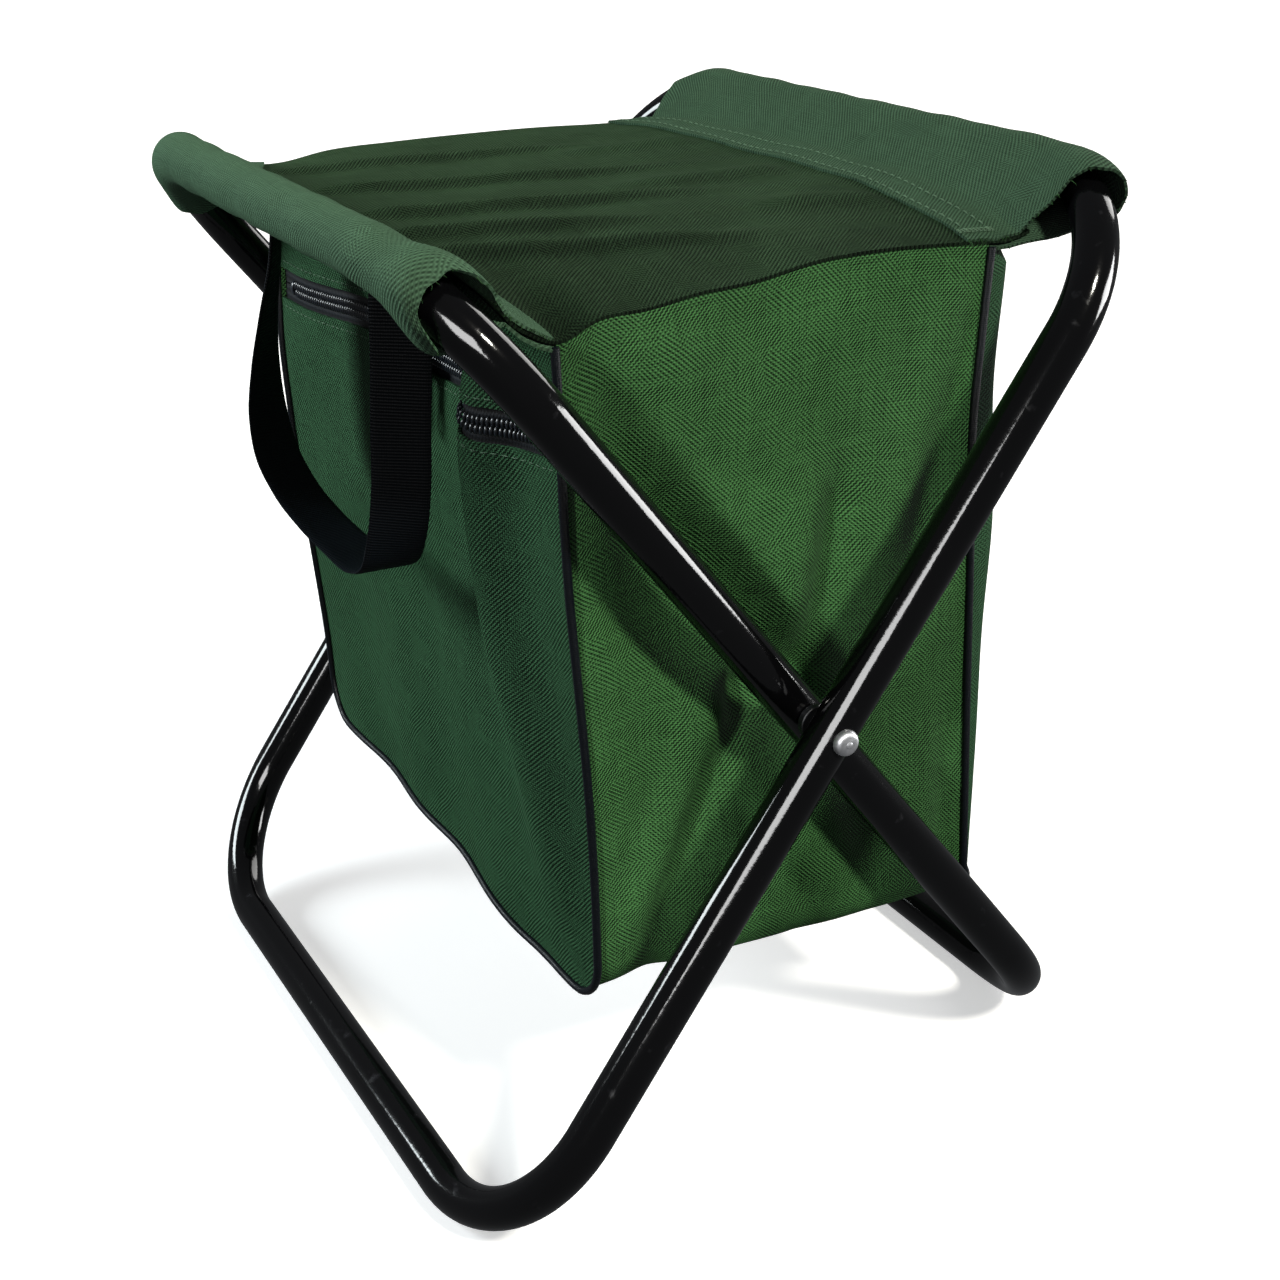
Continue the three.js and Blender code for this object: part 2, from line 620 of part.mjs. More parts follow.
function zipPull() {
  const inside = LUG_W / 2 + FIT;
  const outside = inside + EAR_W;
  const half = PULL_T / 2;
  let solid = toSolid(crossPin(PIN_D, 2 * outside));
  for (const side of [1, -1]) {
    const earX = [side * inside, side * outside].sort((a, b) => a - b);
    const ear = block(...earX, pinY - half - FIT, pinY + half, -PULL_NECK - PULL_T, half + FIT);
    solid = solid.add(toSolid(ear));
  }
  const w = PULL_W / 2;
  const end = -PULL_L + w;
  const tab = new THREE.Shape();
  tab.moveTo(w, -PULL_NECK);
  tab.lineTo(-w, -PULL_NECK);
  tab.lineTo(-w, end);
  tab.absarc(0, end, w, Math.PI, 2 * Math.PI, false);
  const slot = new THREE.Path();
  const slotHalf = PULL_SLOT_W / 2;
  const slotLow = end - w / 4;
  slot.absarc(0, slotLow + PULL_SLOT_L - PULL_SLOT_W, slotHalf, 0, Math.PI, false);
  slot.absarc(0, slotLow, slotHalf, Math.PI, 2 * Math.PI, false);
  tab.holes.push(slot);
  return toGeometry(solid.add(toSolid(sheetXZ(tab, pinY - half, pinY + half))));
}
for (const [label, side] of [['right', 1], ['left', -1]]) {
  const x = ZIP_MEET + side * sliderStep;
  const slider = addMesh(`zip_slider_${label}`, zipSlider(side), STEEL);
  slider.position.set(x, chainFrontY, zipZ);
  addMesh(`zip_pull_${label}`, zipPull(), NAVY_BLACK).position.set(x, chainFrontY, zipZ);
}

// Ends of the handle, sewn to the top of the front flap and lying flat under the seat
const handleY = -(seatEdgeY - HANDLE_INSET);
const handleEndZ = endTopZ - FIT - WEBBING_T;
const handleTopZ = handleEndZ - FIT;
for (const [label, side] of [['right', 1], ['left', -1]]) {
  const mid = side * HANDLE_HALF_SPAN;
  const [x0, x1] = [mid - WEBBING_W / 2, mid + WEBBING_W / 2];
  const end = block(x0, x1, handleY - WEBBING_T, bagFrontY - FIT, handleEndZ, handleEndZ + WEBBING_T);
  addMesh(`handle_end_${label}`, end, NAVY_BLACK);
}

// Webbing handle: two legs that twist a quarter turn below their ends, joined by a bow
function handle() {
  const y = handleY;
  const topZ = handleTopZ;
  const legZ = topZ - HANDLE_LEG;
  const up = [];
  for (let i = 0; i <= HANDLE_STEPS; i++) {
    const drop = (HANDLE_LEG * i) / HANDLE_STEPS;
    const twist = (Math.min(drop / HANDLE_TWIST, 1) * Math.PI) / 2;
    up.push({ x: HANDLE_HALF_SPAN, z: topZ - drop, tx: 0, tz: -1, twist });
  }
  const path = [...up];
  for (let i = 1; i < BOW_STEPS; i++) {
    const t = (Math.PI * i) / BOW_STEPS;
    const tx = -HANDLE_HALF_SPAN * Math.sin(t);
    const tz = -HANDLE_BOW * Math.cos(t);
    const n = Math.hypot(tx, tz);
    const x = HANDLE_HALF_SPAN * Math.cos(t);
    path.push({ x, z: legZ - HANDLE_BOW * Math.sin(t), tx: tx / n, tz: tz / n, twist: Math.PI / 2 });
  }
  for (const s of [...up].reverse()) {
    path.push({ x: -s.x, z: s.z, tx: 0, tz: 1, twist: Math.PI - s.twist });
  }
  const w = WEBBING_W / 2;
  const t = WEBBING_T / 2;
  const stations = path.map((s) => {
    const tangent = new THREE.Vector3(s.tx, 0, s.tz);
    const flat = new THREE.Vector3(0, 1, 0).cross(tangent);
    const b = flat.multiplyScalar(-Math.cos(s.twist)).add(new THREE.Vector3(0, Math.sin(s.twist), 0));
    return { point: new THREE.Vector3(s.x, y, s.z), a: b.clone().cross(tangent), b };
  });
  return sweep([[[t, -w], [t, w], [-t, w], [-t, -w]]], stations, false);
}
addMesh('handle', handle(), NAVY_BLACK);

export default stool;
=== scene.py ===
import json
import math

import bpy
import numpy as np
from mathutils import Matrix, Vector


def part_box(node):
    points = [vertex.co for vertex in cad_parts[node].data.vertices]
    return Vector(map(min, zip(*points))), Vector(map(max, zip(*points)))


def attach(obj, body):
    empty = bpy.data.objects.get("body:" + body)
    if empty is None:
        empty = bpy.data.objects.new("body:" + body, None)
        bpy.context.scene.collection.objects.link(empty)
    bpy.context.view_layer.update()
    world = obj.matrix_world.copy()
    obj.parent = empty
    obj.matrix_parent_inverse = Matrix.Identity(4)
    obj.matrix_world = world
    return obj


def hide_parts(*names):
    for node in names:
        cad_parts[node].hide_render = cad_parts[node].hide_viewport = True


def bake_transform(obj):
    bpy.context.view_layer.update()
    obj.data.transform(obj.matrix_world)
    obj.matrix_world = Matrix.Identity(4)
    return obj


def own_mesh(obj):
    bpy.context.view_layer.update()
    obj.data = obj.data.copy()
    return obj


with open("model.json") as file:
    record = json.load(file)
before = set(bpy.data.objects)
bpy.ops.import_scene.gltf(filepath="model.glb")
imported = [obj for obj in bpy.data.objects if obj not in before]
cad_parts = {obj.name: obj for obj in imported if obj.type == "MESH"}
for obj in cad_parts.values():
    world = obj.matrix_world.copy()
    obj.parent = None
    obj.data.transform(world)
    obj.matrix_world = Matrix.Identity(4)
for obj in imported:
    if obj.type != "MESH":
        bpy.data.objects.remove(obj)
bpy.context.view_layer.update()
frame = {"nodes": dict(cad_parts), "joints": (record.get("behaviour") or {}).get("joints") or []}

bl_info = {
    "name": "Folding cooler stool",
    "version": (1, 0, 0),
    "blender": (4, 5, 0),
    "location": "View3D > Sidebar > Stool",
    "description": "Tube loops, canvas seat, cooler bag, zip and webbing of a folding stool",
    "category": "Object",
}

# All shapes are worked out in millimetres and put into the meshes in metres
MM = 0.001
PIVOT_Z = next(j for j in frame["joints"] if j["name"] == "frame_fold")["pos_m"][2] / MM
EX, EY, EZ = np.eye(3)
# Faces that meet at more than this angle keep a sharp edge
SHARP_EDGE = math.radians(42)


def length(label, words, value):
    """A length property with its default in millimetres."""
    return bpy.props.FloatProperty(
        name=label, description=words, default=value * MM, min=0.0, unit="LENGTH", subtype="DISTANCE"
    )


def tint(label, words, rgb):
    """A colour property."""
    return bpy.props.FloatVectorProperty(
        name=label, description=words, default=rgb, size=3, min=0.0, max=1.0, subtype="COLOR"
    )


class StoolSizes(bpy.types.PropertyGroup):
    """Sizes of the stool that a user would change."""

    tube: length("Tube diameter", "Outside of the frame tube", 16.0)
    bend: length("Bend radius", "Radius of the tube bends at their middle line", 55.0)
    outer_half: length("Outer loop half width", "Middle of the stool to the outer leg", 159.0)
    inner_half: length("Inner loop half width", "Middle of the stool to the inner leg", 139.6)
    rail_spread: length("Rail spread", "Middle of the stool to each rail", 121.5)
    bar_spread: length("Bar spread", "Middle of the stool to each floor bar", 127.0)
    rail_height: length("Rail height", "Floor to the middle of the rails", 340.0)
    cloth: length("Cloth thickness", "Coated oxford cloth", 1.0)
    sleeve: length("Sleeve radius", "Middle of the cloth round a rail", 8.8)
    sleeve_mouth: length("Sleeve mouth radius", "Looser ends of the sleeves", 11.0)
    open_mouth: length("Open mouth radius", "Near end of the front sleeve", 10.6)
    front_sleeve: length("Front sleeve half length", "Along the rail into the bend", 132.0)
    back_sleeve: length("Back sleeve half length", "Along the rail into the bend", 134.0)
    bag_half: length("Bag half width", "Middle of the bag to its side", 124.0)
    corner: length("Bag corner radius", "Rounded lower corners of the bag", 17.0)
    piping: length("Piping diameter", "Corded edge of the end panels", 3.0)
    zip_height: length("Zip height", "Floor to the zip at its ends", 282.4)
    zip_window: length("Zip window", "Height of the band between the cloth edges", 12.4)
    tooth_pitch: length("Tooth pitch", "From one coil turn to the next", 2.05)
    webbing: length("Webbing width", "Width of the handle", 20.0)
    webbing_t: length("Webbing thickness", "Thickness of the handle", 1.5)
    stitch: length("Stitch length", "One visible stitch", 3.3)
    stitch_gap: length("Stitch gap", "Between two stitches", 1.1)
    weave: length("Weave pitch", "From one thread of the cloth to the next", 0.86)


class StoolColours(bpy.types.PropertyGroup):
    """Colours of the stool, in linear light."""

    bag: tint("Bag cloth", "Sides and bottom of the bag", (0.034, 0.104, 0.031))
    panel: tint("Panel cloth", "Front and back of the bag", (0.030, 0.090, 0.040))
    seat: tint("Seat cloth", "Seat between the rails", (0.054, 0.108, 0.046))
    sleeve: tint("Sleeve cloth", "Sleeves round the rails", (0.064, 0.130, 0.074))
    trim: tint("Trim", "Piping and zip tape", (0.003, 0.0045, 0.007))
    webbing: tint("Webbing", "Carrying handle", (0.002, 0.0038, 0.006))
    coat: tint("Coat", "Gloss coat of the tubes", (0.0025, 0.0025, 0.003))
    steel: tint("Steel", "Rivets and washers", (0.62, 0.63, 0.65))
    thread: tint("Thread", "Pale seam stitches", (0.12, 0.21, 0.13))
    foam: tint("Foam", "Insulation sheet", (0.80, 0.80, 0.76))
    film: tint("Film", "Wipe-clean liner", (0.55, 0.57, 0.60))
    floor: tint("Floor", "Studio floor", (0.90, 0.90, 0.90))


def mm(name):
    """A size in millimetres."""
    return getattr(bpy.context.scene.stool_sizes, name) / MM


def colour(name, gain=1.0):
    """A colour as a socket value, made lighter or darker by gain."""
    return (*[min(1.0, c * gain) for c in getattr(bpy.context.scene.stool_colours, name)], 1.0)


# Shader maths


class Value:
    """One shader socket in a Python expression: each operator adds a Math node."""

    def __init__(self, board, socket):
        self.board, self.socket = board, socket

    def math(self, operation, *others, clamp=False):
        settings = {"operation": operation, "use_clamp": clamp}
        return self.board.node("ShaderNodeMath", settings, [self, *others])

    def __add__(self, other):
        return self.math("ADD", other)

    def __mul__(self, other):
        return self.math("MULTIPLY", other)

    def __sub__(self, other):
        return self.math("SUBTRACT", other)

    def __rsub__(self, other):
        return self.board.node("ShaderNodeMath", {"operation": "SUBTRACT"}, [other, self])

    def __pow__(self, other):
        return self.math("POWER", other)

    __radd__, __rmul__ = __add__, __mul__

    def sin(self):
        return self.math("SINE")

    def abs(self):
        return self.math("ABSOLUTE")

    def clamp(self):
        return self.math("ADD", 0.0, clamp=True)


class Board:
    """The node board of one finish."""

    def __init__(self, name):
        self.material = bpy.data.materials.new(name)
        self.material.use_nodes = True
        self.tree = self.material.node_tree
        self.tree.nodes.clear()

    def node(self, kind, settings=None, values=None, out=0):
        """Adds a node: its settings first, then its sockets by name or place; gives one output."""
        node = self.tree.nodes.new(kind)
        for key, value in (settings or {}).items():
            setattr(node, key, value)
        for key, value in values.items() if isinstance(values, dict) else enumerate(values or ()):
            if isinstance(value, Value):
                self.tree.links.new(value.socket, node.inputs[key])
            else:
                node.inputs[key].default_value = value
        return Value(self, node.outputs[out]) if node.outputs else None

    def split(self, vector):
        """The three numbers of a vector."""
        node = self.tree.nodes.new("ShaderNodeSeparateXYZ")
        self.tree.links.new(vector.socket, node.inputs[0])
        return [Value(self, o) for o in node.outputs]

    def join(self, x, y, z=0.0):
        return self.node("ShaderNodeCombineXYZ", None, [x, y, z])

    def place(self):
        """Object coordinates, in metres."""
        return self.node("ShaderNodeTexCoord", None, None, out=3)

    def threads(self):
        """Millimetres along the two thread directions of a piece."""
        return self.split(self.node("ShaderNodeUVMap", {"uv_map": "cloth"}))[:2]

    def noise(self, vector, scale, detail=2.0):
        return self.node("ShaderNodeTexNoise", None, {"Vector": vector, "Scale": scale, "Detail": detail})

    def mix(self, share, first, second):
        return self.node("ShaderNodeMix", {"data_type": "RGBA"}, {0: share, 6: first, 7: second}, out=2)

    def tones(self, share, base, dark, light):
        """From a darker to a lighter tone of one of the stool's colours."""
        return self.mix(share, colour(base, dark), colour(base, light))

    def bump(self, height, depth):
        return self.node("ShaderNodeBump", None, {"Strength": 1.0, "Distance": depth, "Height": height})

    def finish(self, **sockets):
        """Ends the board in a Principled shader whose sockets are given by name, with _ for a blank."""
        values = {key.replace("_", " "): value for key, value in sockets.items()}
        shader = self.node("ShaderNodeBsdfPrincipled", None, values)
        self.node("ShaderNodeOutputMaterial", None, {"Surface": shader})
        return self.material


def oxford_cloth(name, base, contrast, lean, gain=1.0):
    """Plain weave: crossing threads pass over and under in turn, so their crowns make a checkerboard.
    One of its two diagonals is the stronger, by turns, and lean is the share that one keeps. The crowns
    are painted lighter and the gaps between them darker: painted shade of the weave's relief."""
    board = Board(name)
    u, v = board.threads()
    flat = board.join(u, v)
    u = u + (board.noise(flat, scale=0.045, detail=1.0) - 0.5) * 2.4
    v = v + (board.noise(board.join(v, u), scale=0.05, detail=1.0) - 0.5) * 2.0
    turn = math.pi / mm("weave")
    sway = ((board.noise(flat, scale=0.085) - 0.5) * 5.0 + lean).clamp()
    crowns = ((u + v) * turn).sin() * sway + ((u - v) * turn).sin() * (1.0 - sway)
    ribs = (u * (2.0 * turn)).sin() * 0.3 + (v * (2.0 * turn)).sin() * 0.45
    long, short = 0.05, 1.16
    slub = board.noise(board.join(u * long, v * short), scale=1.0)
    slub = slub + board.noise(board.join(u * short, v * long), scale=1.0)
    cloud = board.noise(flat, scale=0.022, detail=3.0)
    relief = crowns + ribs
    # Lighter thread crowns and darker gaps are painted shade; slub and cloud are the threads' own random tone
    shade = (relief * 0.46 + (slub - 1.0) * 0.5 + (cloud - 0.5) * 0.3 + 0.5).clamp()
    return board.finish(
        Base_Color=board.tones(shade, base, gain * (1 - contrast), gain * (1 + contrast)),
        Roughness=0.9 - shade * 0.12,
        Normal=board.bump(relief + (slub - 1.0), depth=0.00012),
        Specular_IOR_Level=0.07,
    )


def gloss_coat(name):
    """Black coat on tube: a faint orange peel, uneven gloss and a few dull scuffs."""
    board = Board(name)
    place = board.place()
    peel = board.noise(place, scale=520.0)
    cloud = board.noise(place, scale=26.0, detail=3.0)
    scuff = ((board.noise(place, scale=150.0, detail=4.0) - 0.66) * 9.0).clamp()
    return board.finish(
        Base_Color=board.tones(scuff, "coat", 1.0, 5.0),
        Roughness=0.06 + cloud * 0.08 + scuff * 0.2,
        Normal=board.bump(peel + scuff * 0.3, depth=0.00003),
        Specular_IOR_Level=0.4,
    )


def bright_steel(name):
    """Plated steel with fine rubbing marks and dull spots."""
    board = Board(name)
    x, y, z = board.split(board.place())
    rub = board.noise(board.join(x * 3.0, y, z), scale=900.0, detail=3.0)
    spot = board.noise(board.place(), scale=260.0)
    return board.finish(
        Base_Color=board.tones(spot, "steel", 0.75, 1.15),
        Metallic=1.0,
        Roughness=0.34 + rub * 0.16 + spot * 0.10,
        Normal=board.bump(rub, depth=0.00003),
    )


def ribbed_webbing(name, rib_pitch, end_pitch):
    """Webbing: ribs across the length, each crossed by fine warp ends, and a smooth selvedge."""
    board = Board(name)
    u, v = board.threads()
    rib = (v * (math.pi / rib_pitch)).sin().abs() ** 0.6
    ends = (u * (math.pi / end_pitch)).sin().abs()
    fuzz = board.noise(board.join(u, v), scale=1.3, detail=3.0)
    relief = rib * 0.8 + ends * 0.2
    shade = (relief * 0.8 + fuzz * 0.4 - 0.15).clamp()
    return board.finish(
        Base_Color=board.tones(shade, "webbing", 0.45, 2.1),
        Roughness=0.72 - shade * 0.2,
        Normal=board.bump(relief + fuzz * 0.15, depth=0.0004),
        Specular_IOR_Level=0.07,
    )


def woven_tape(name, base, pitch, rough, depth):
    """Black tape or corded edge: herringbone threads along its own two directions."""
    board = Board(name)
    u, v = board.threads()
    turn = math.pi / pitch
    slant = ((u * turn).sin().abs() * 1.6 + v * turn).sin()
    fuzz = board.noise(board.join(u, v), scale=0.8, detail=3.0)
    shade = (slant * 0.4 + fuzz * 0.6 + 0.15).clamp()
    return board.finish(
        Base_Color=board.tones(shade, base, 0.6, 2.2),
        Roughness=rough - shade * 0.15,
        Normal=board.bump(slant + fuzz * 0.4, depth),
        Specular_IOR_Level=0.22,
    )


def plain_solid(name, base, gain, rough, scale, depth, metal=0.0):
    """Moulded or foamed stuff: cloudy colour, uneven gloss and a small grain."""
    board = Board(name)
    place = board.place()
    grain = board.noise(place, scale, detail=3.0)
    cloud = board.noise(place, scale * 0.08)
    return board.finish(
        Base_Color=board.tones(cloud, base, 0.8 * gain, 1.2 * gain),
        Roughness=rough + grain * 0.15,
        Metallic=metal,
        Normal=board.bump(grain, depth),
    )


def sewing_thread(name, base, gain):
    """Twisted thread: fine slanted turns."""
    board = Board(name)
    x, y, z = board.split(board.place())
    twist = ((x + y + z) * 9000.0).sin()
    tone = board.noise(board.place(), scale=60.0)
    return board.finish(
        Base_Color=board.tones(tone, base, 0.7 * gain, 1.25 * gain),
        Roughness=0.7 + twist * 0.05,
        Normal=board.bump(twist, depth=0.00005),
        Specular_IOR_Level=0.1,
    )


def studio_floor(name):
    """Pale paper with the faintest mottle; its own light grows from the floor to the top of the wall."""
    board = Board(name)
    place = board.place()
    mottle = board.noise(place, scale=1.5)
    wall = (board.split(place)[2] * 0.8).clamp()
    return board.finish(
        Base_Color=board.tones(mottle, "floor", 0.985, 1.015),
        Roughness=0.85 + mottle * 0.05,
        Emission_Color=board.mix(wall, (0.52, 0.52, 0.52, 1.0), (1.0, 1.0, 1.0, 1.0)),
        Emission_Strength=1.0,
    )


# Maker of each finish, then the maker's own values in its order
MAKERS = {
    # The contrast of each cloth sets how strong the painted shade of its weave is
    "bag_cloth": (oxford_cloth, "bag", 0.9, 0.5),
    "panel_cloth": (oxford_cloth, "panel", 0.75, 0.1),
    "seat_cloth": (oxford_cloth, "seat", 0.75, 0.85),
    "sleeve_cloth": (oxford_cloth, "sleeve", 0.5, 0.9),
    # The back sleeve takes the sleeve cloth at 0.7 of its brightness: painted shade, as that sleeve gets less
    # light
    "back_sleeve_cloth": (oxford_cloth, "sleeve", 0.6, 0.9, 0.7),
    "frame_coat": (gloss_coat,),
    "rivet_steel": (bright_steel,),
    "webbing": (ribbed_webbing, 1.15, 0.8),
    "piping_trim": (woven_tape, "trim", 0.35, 0.42, 0.00002),
    "zip_tape": (woven_tape, "trim", 1.4, 0.78, 0.00012),
    "zip_nylon": (plain_solid, "trim", 4.0, 0.27, 900.0, 0.00002),
    "dark_washer": (plain_solid, "trim", 1.0, 0.4, 700.0, 0.00002, 0.2),
    "zip_metal": (plain_solid, "trim", 1.6, 0.22, 700.0, 0.00002, 0.3),
    "pale_thread": (sewing_thread, "thread", 1.0),
    "dark_thread": (sewing_thread, "bag", 0.8),
    "foam": (plain_solid, "foam", 1.0, 0.85, 500.0, 0.0002),
    "liner_film": (plain_solid, "film", 1.0, 0.25, 90.0, 0.0006, 0.5),
    "studio_floor": (studio_floor,),
}
FINISHES = {}


def finish(name):
    """The finish of that name, made when it is first asked for."""
    if name not in FINISHES:
        maker, *values = MAKERS[name]
        FINISHES[name] = maker(name, *values)
    return FINISHES[name]


# Numpy shapes: each is points, a list of face arrays and, for cloth, millimetres along its threads


def ease(t):
    """Smooth step from 0 to 1."""
    t = np.clip(t, 0.0, 1.0)
    return t * t * (3.0 - 2.0 * t)


def bell(x, middle, width):
    """Bell curve: 1 at its middle, and falling with the square of the distance in widths."""
    return np.exp(-(((x - middle) / width) ** 2))


def unit(v):
    return v / np.maximum(np.linalg.norm(v, axis=-1, keepdims=True), 1e-9)


def xyz(x, y, z):
    """Points from their three coordinates."""
    return np.stack(np.broadcast_arrays(x, y, z), -1)


def around(sides):
    """Equal angles round a circle."""
    return np.arange(sides) * 2 * np.pi / sides


def curve_through(x, knots):
    """Smooth curve through knots of place and value: a cubic between each two, with the slope at a
    knot taken from its neighbours, and level beyond the ends."""
    xs, ys = np.array(knots, float).T
    slope = np.gradient(ys, xs)
    x = np.clip(x, xs[0], xs[-1])
    k = np.clip(np.searchsorted(xs, x) - 1, 0, len(xs) - 2)
    h = xs[k + 1] - xs[k]
    t = (x - xs[k]) / h
    start = (1 + 2 * t) * (1 - t) ** 2 * ys[k] + t * (1 - t) ** 2 * h * slope[k]
    return start + t * t * (3 - 2 * t) * ys[k + 1] + t * t * (t - 1) * h * slope[k + 1]


def run_of(path):
    """Distance along a path to each of its points."""
    return np.concatenate([[0.0], np.cumsum(np.linalg.norm(np.diff(path, axis=0), axis=1))])


def straight_at(s, run, values):
    """Rows of values at the distances s of a run, straight between them."""
    return np.stack([np.interp(s, run, v) for v in values.T], -1)


def along_knots(knots, count):
    """Equal steps along a smooth curve whose knots start with a point in space: distances and values."""
    knots = np.array(knots, float)
    run = run_of(knots[:, :3])
    s = np.linspace(0.0, run[-1], count)
    return s, np.stack([curve_through(s, np.stack([run, v], -1)) for v in knots.T], -1)


def grid_quads(rows, cols, wrap_rows=False, wrap_cols=False):
    """Quads of a grid of points; a wrapped direction joins its last line to its first."""
    down, across = np.arange(rows if wrap_rows else rows - 1), np.arange(cols if wrap_cols else cols - 1)
    i, j = np.meshgrid(down, across, indexing="ij")
    i2, j2 = (i + 1) % rows, (j + 1) % cols
    return np.stack([i * cols + j, i * cols + j2, i2 * cols + j2, i2 * cols + j], -1).reshape(-1, 4)


def poled_faces(rows, sides):
    """Faces of rows of rings with a pole at each end, the poles being the two points after the rings."""
    i = np.arange(sides)
    j = (i + 1) % sides
    count = rows * sides
    end = count - sides
    first = np.stack([np.full(sides, count), i, j], -1)
    last = np.stack([np.full(sides, count + 1), end + j, end + i], -1)
    return [grid_quads(rows, sides, wrap_cols=True)[:, ::-1], first, last]


def outward(points, faces, uv=None):
    """A closed shape with its faces turned so that its volume is positive."""
    volume = 0.0
    for face in faces:
        a = points[face[:, 0]]
        for k in range(1, face.shape[1] - 1):
            volume += (a * np.cross(points[face[:, k]], points[face[:, k + 1]])).sum()
    return points, [f[:, ::-1] for f in faces] if volume < 0 else faces, uv


def joined(*shapes):
    """Several shapes as one."""
    points, faces, uvs, start = [], [], [], 0
    for p, fs, uv in shapes:
        points.append(p)
        faces += [f + start for f in fs]
        uvs.append(uv)
        start += len(p)
    return np.concatenate(points), faces, np.concatenate(uvs)


def grid_normals(p):
    """Unit normals of a grid: the cross product of its two differences."""
    return unit(np.cross(np.gradient(p, axis=1), np.gradient(p, axis=0)))


def moved_in(grid, by):
    """A grid moved along its normals, away from the side that its faces show."""
    return grid - grid_normals(grid) * by


def thread_uv(p):
    """Millimetres along a grid's two directions, each taken as the mean over the other."""
    du = np.linalg.norm(np.diff(p, axis=1), axis=-1).mean(0)
    dv = np.linalg.norm(np.diff(p, axis=0), axis=-1).mean(1)
    u, v = (np.concatenate([[0.0], np.cumsum(d)]) for d in (du, dv))
    return np.stack(np.meshgrid(u, v), -1)


def shell(p, thickness, uv=None):
    """Cloth: the grid moved half a thickness along its normals to both sides, with a rim round it."""
    rows, cols = p.shape[:2]
    uv = thread_uv(p) if uv is None else uv
    n = grid_normals(p) * thickness / 2
    points = np.concatenate([(p + n).reshape(-1, 3), (p - n).reshape(-1, 3)])
    count = rows * cols
    index = np.arange(count).reshape(rows, cols)
    ring = np.concatenate([index[0, :-1], index[:-1, -1], index[-1, :0:-1], index[:0:-1, 0]])
    after = np.roll(ring, -1)
    rim = np.stack([after, ring, ring + count, after + count], -1)
    face = grid_quads(rows, cols)
    quads = np.concatenate([face, face[:, ::-1] + count, rim])
    return outward(points, [quads], np.concatenate([uv.reshape(-1, 2)] * 2))


def strands(paths, radii, up, sides=6, flat=1.0):
    """Round profiles carried along many paths at once: a ring across the path at each inner station
    and a pole at each end; flat squeezes the ring along up."""
    paths = np.asarray(paths, float)
    n, k = paths.shape[:2]
    along = unit(np.gradient(paths, axis=1))
    across = unit(np.cross(along, np.broadcast_to(up, paths.shape)))
    high = np.cross(across, along)
    t = around(sides)
    ring = across[:, 1:-1, None] * np.cos(t)[:, None] + high[:, 1:-1, None] * (flat * np.sin(t))[:, None]
    ring = ring * np.broadcast_to(radii, (n, k))[:, 1:-1, None, None]
    ring = (paths[:, 1:-1, None] + ring).reshape(n, -1, 3)
    points = np.concatenate([ring, paths[:, :1], paths[:, -1:]], 1)
    shift = (np.arange(n) * points.shape[1])[:, None, None]
    faces = [(f + shift).reshape(-1, f.shape[1]) for f in poled_faces(k - 2, sides)]
    distance = np.cumsum(np.linalg.norm(np.diff(paths, axis=1, prepend=paths[:, :1]), axis=-1), 1)
    girth = np.broadcast_to(t * np.max(radii), (n, k - 2, sides)).reshape(n, -1)
    run = np.repeat(distance[:, 1:-1], sides, axis=1)
    uv = np.concatenate([np.stack([girth, run], -1), np.zeros((n, 2, 2))], 1)
    return outward(points.reshape(-1, 3), faces, uv.reshape(-1, 2))


def turned(profile, poles, sides=48):
    """A profile of radius and place turned about the rivet axis: a ring that closes on itself or, with
    poles, a solid whose profile starts and ends on the axis."""
    r, x = np.array(profile, float).T
    t = around(sides)
    ring = xyz(x[:, None], np.outer(r, np.cos(t)), PIVOT_Z + np.outer(r, np.sin(t)))
    if not poles:
        quads = grid_quads(len(r), sides, wrap_rows=True, wrap_cols=True)
        return outward(ring.reshape(-1, 3), [quads])
    points = np.concatenate([ring[1:-1].reshape(-1, 3), ring[0, :1], ring[-1, :1]])
    return outward(points, poled_faces(len(r) - 2, sides))


# Rise and thickness along one stitch, as shares of its lift and radius
STITCH_RISE = np.array([-0.1, 0.5, 1.0, 1.0, 0.5, -0.1])
STITCH_THICK = np.array([0.0, 0.8, 1.0, 1.0, 0.8, 0.0])
STITCH_LIFT, STITCH_FLAT = 0.25, 0.6


def dashes(path, up, span, gap, radius):
    """Stitches along a path: it is cut at equal distances and each piece becomes a short flat strand."""
    run = run_of(path)
    count = max(1, int(run[-1] // (span + gap)))
    start = np.arange(count) * (run[-1] / count) + gap / 2
    along = start[:, None] + np.linspace(0.0, span, len(STITCH_RISE))
    rise = np.broadcast_to(up, (*along.shape, 3))
    at = straight_at(along, run, path) + rise * (STITCH_RISE[:, None] * STITCH_LIFT)
    return strands(at, radius * STITCH_THICK, rise, 6, STITCH_FLAT)


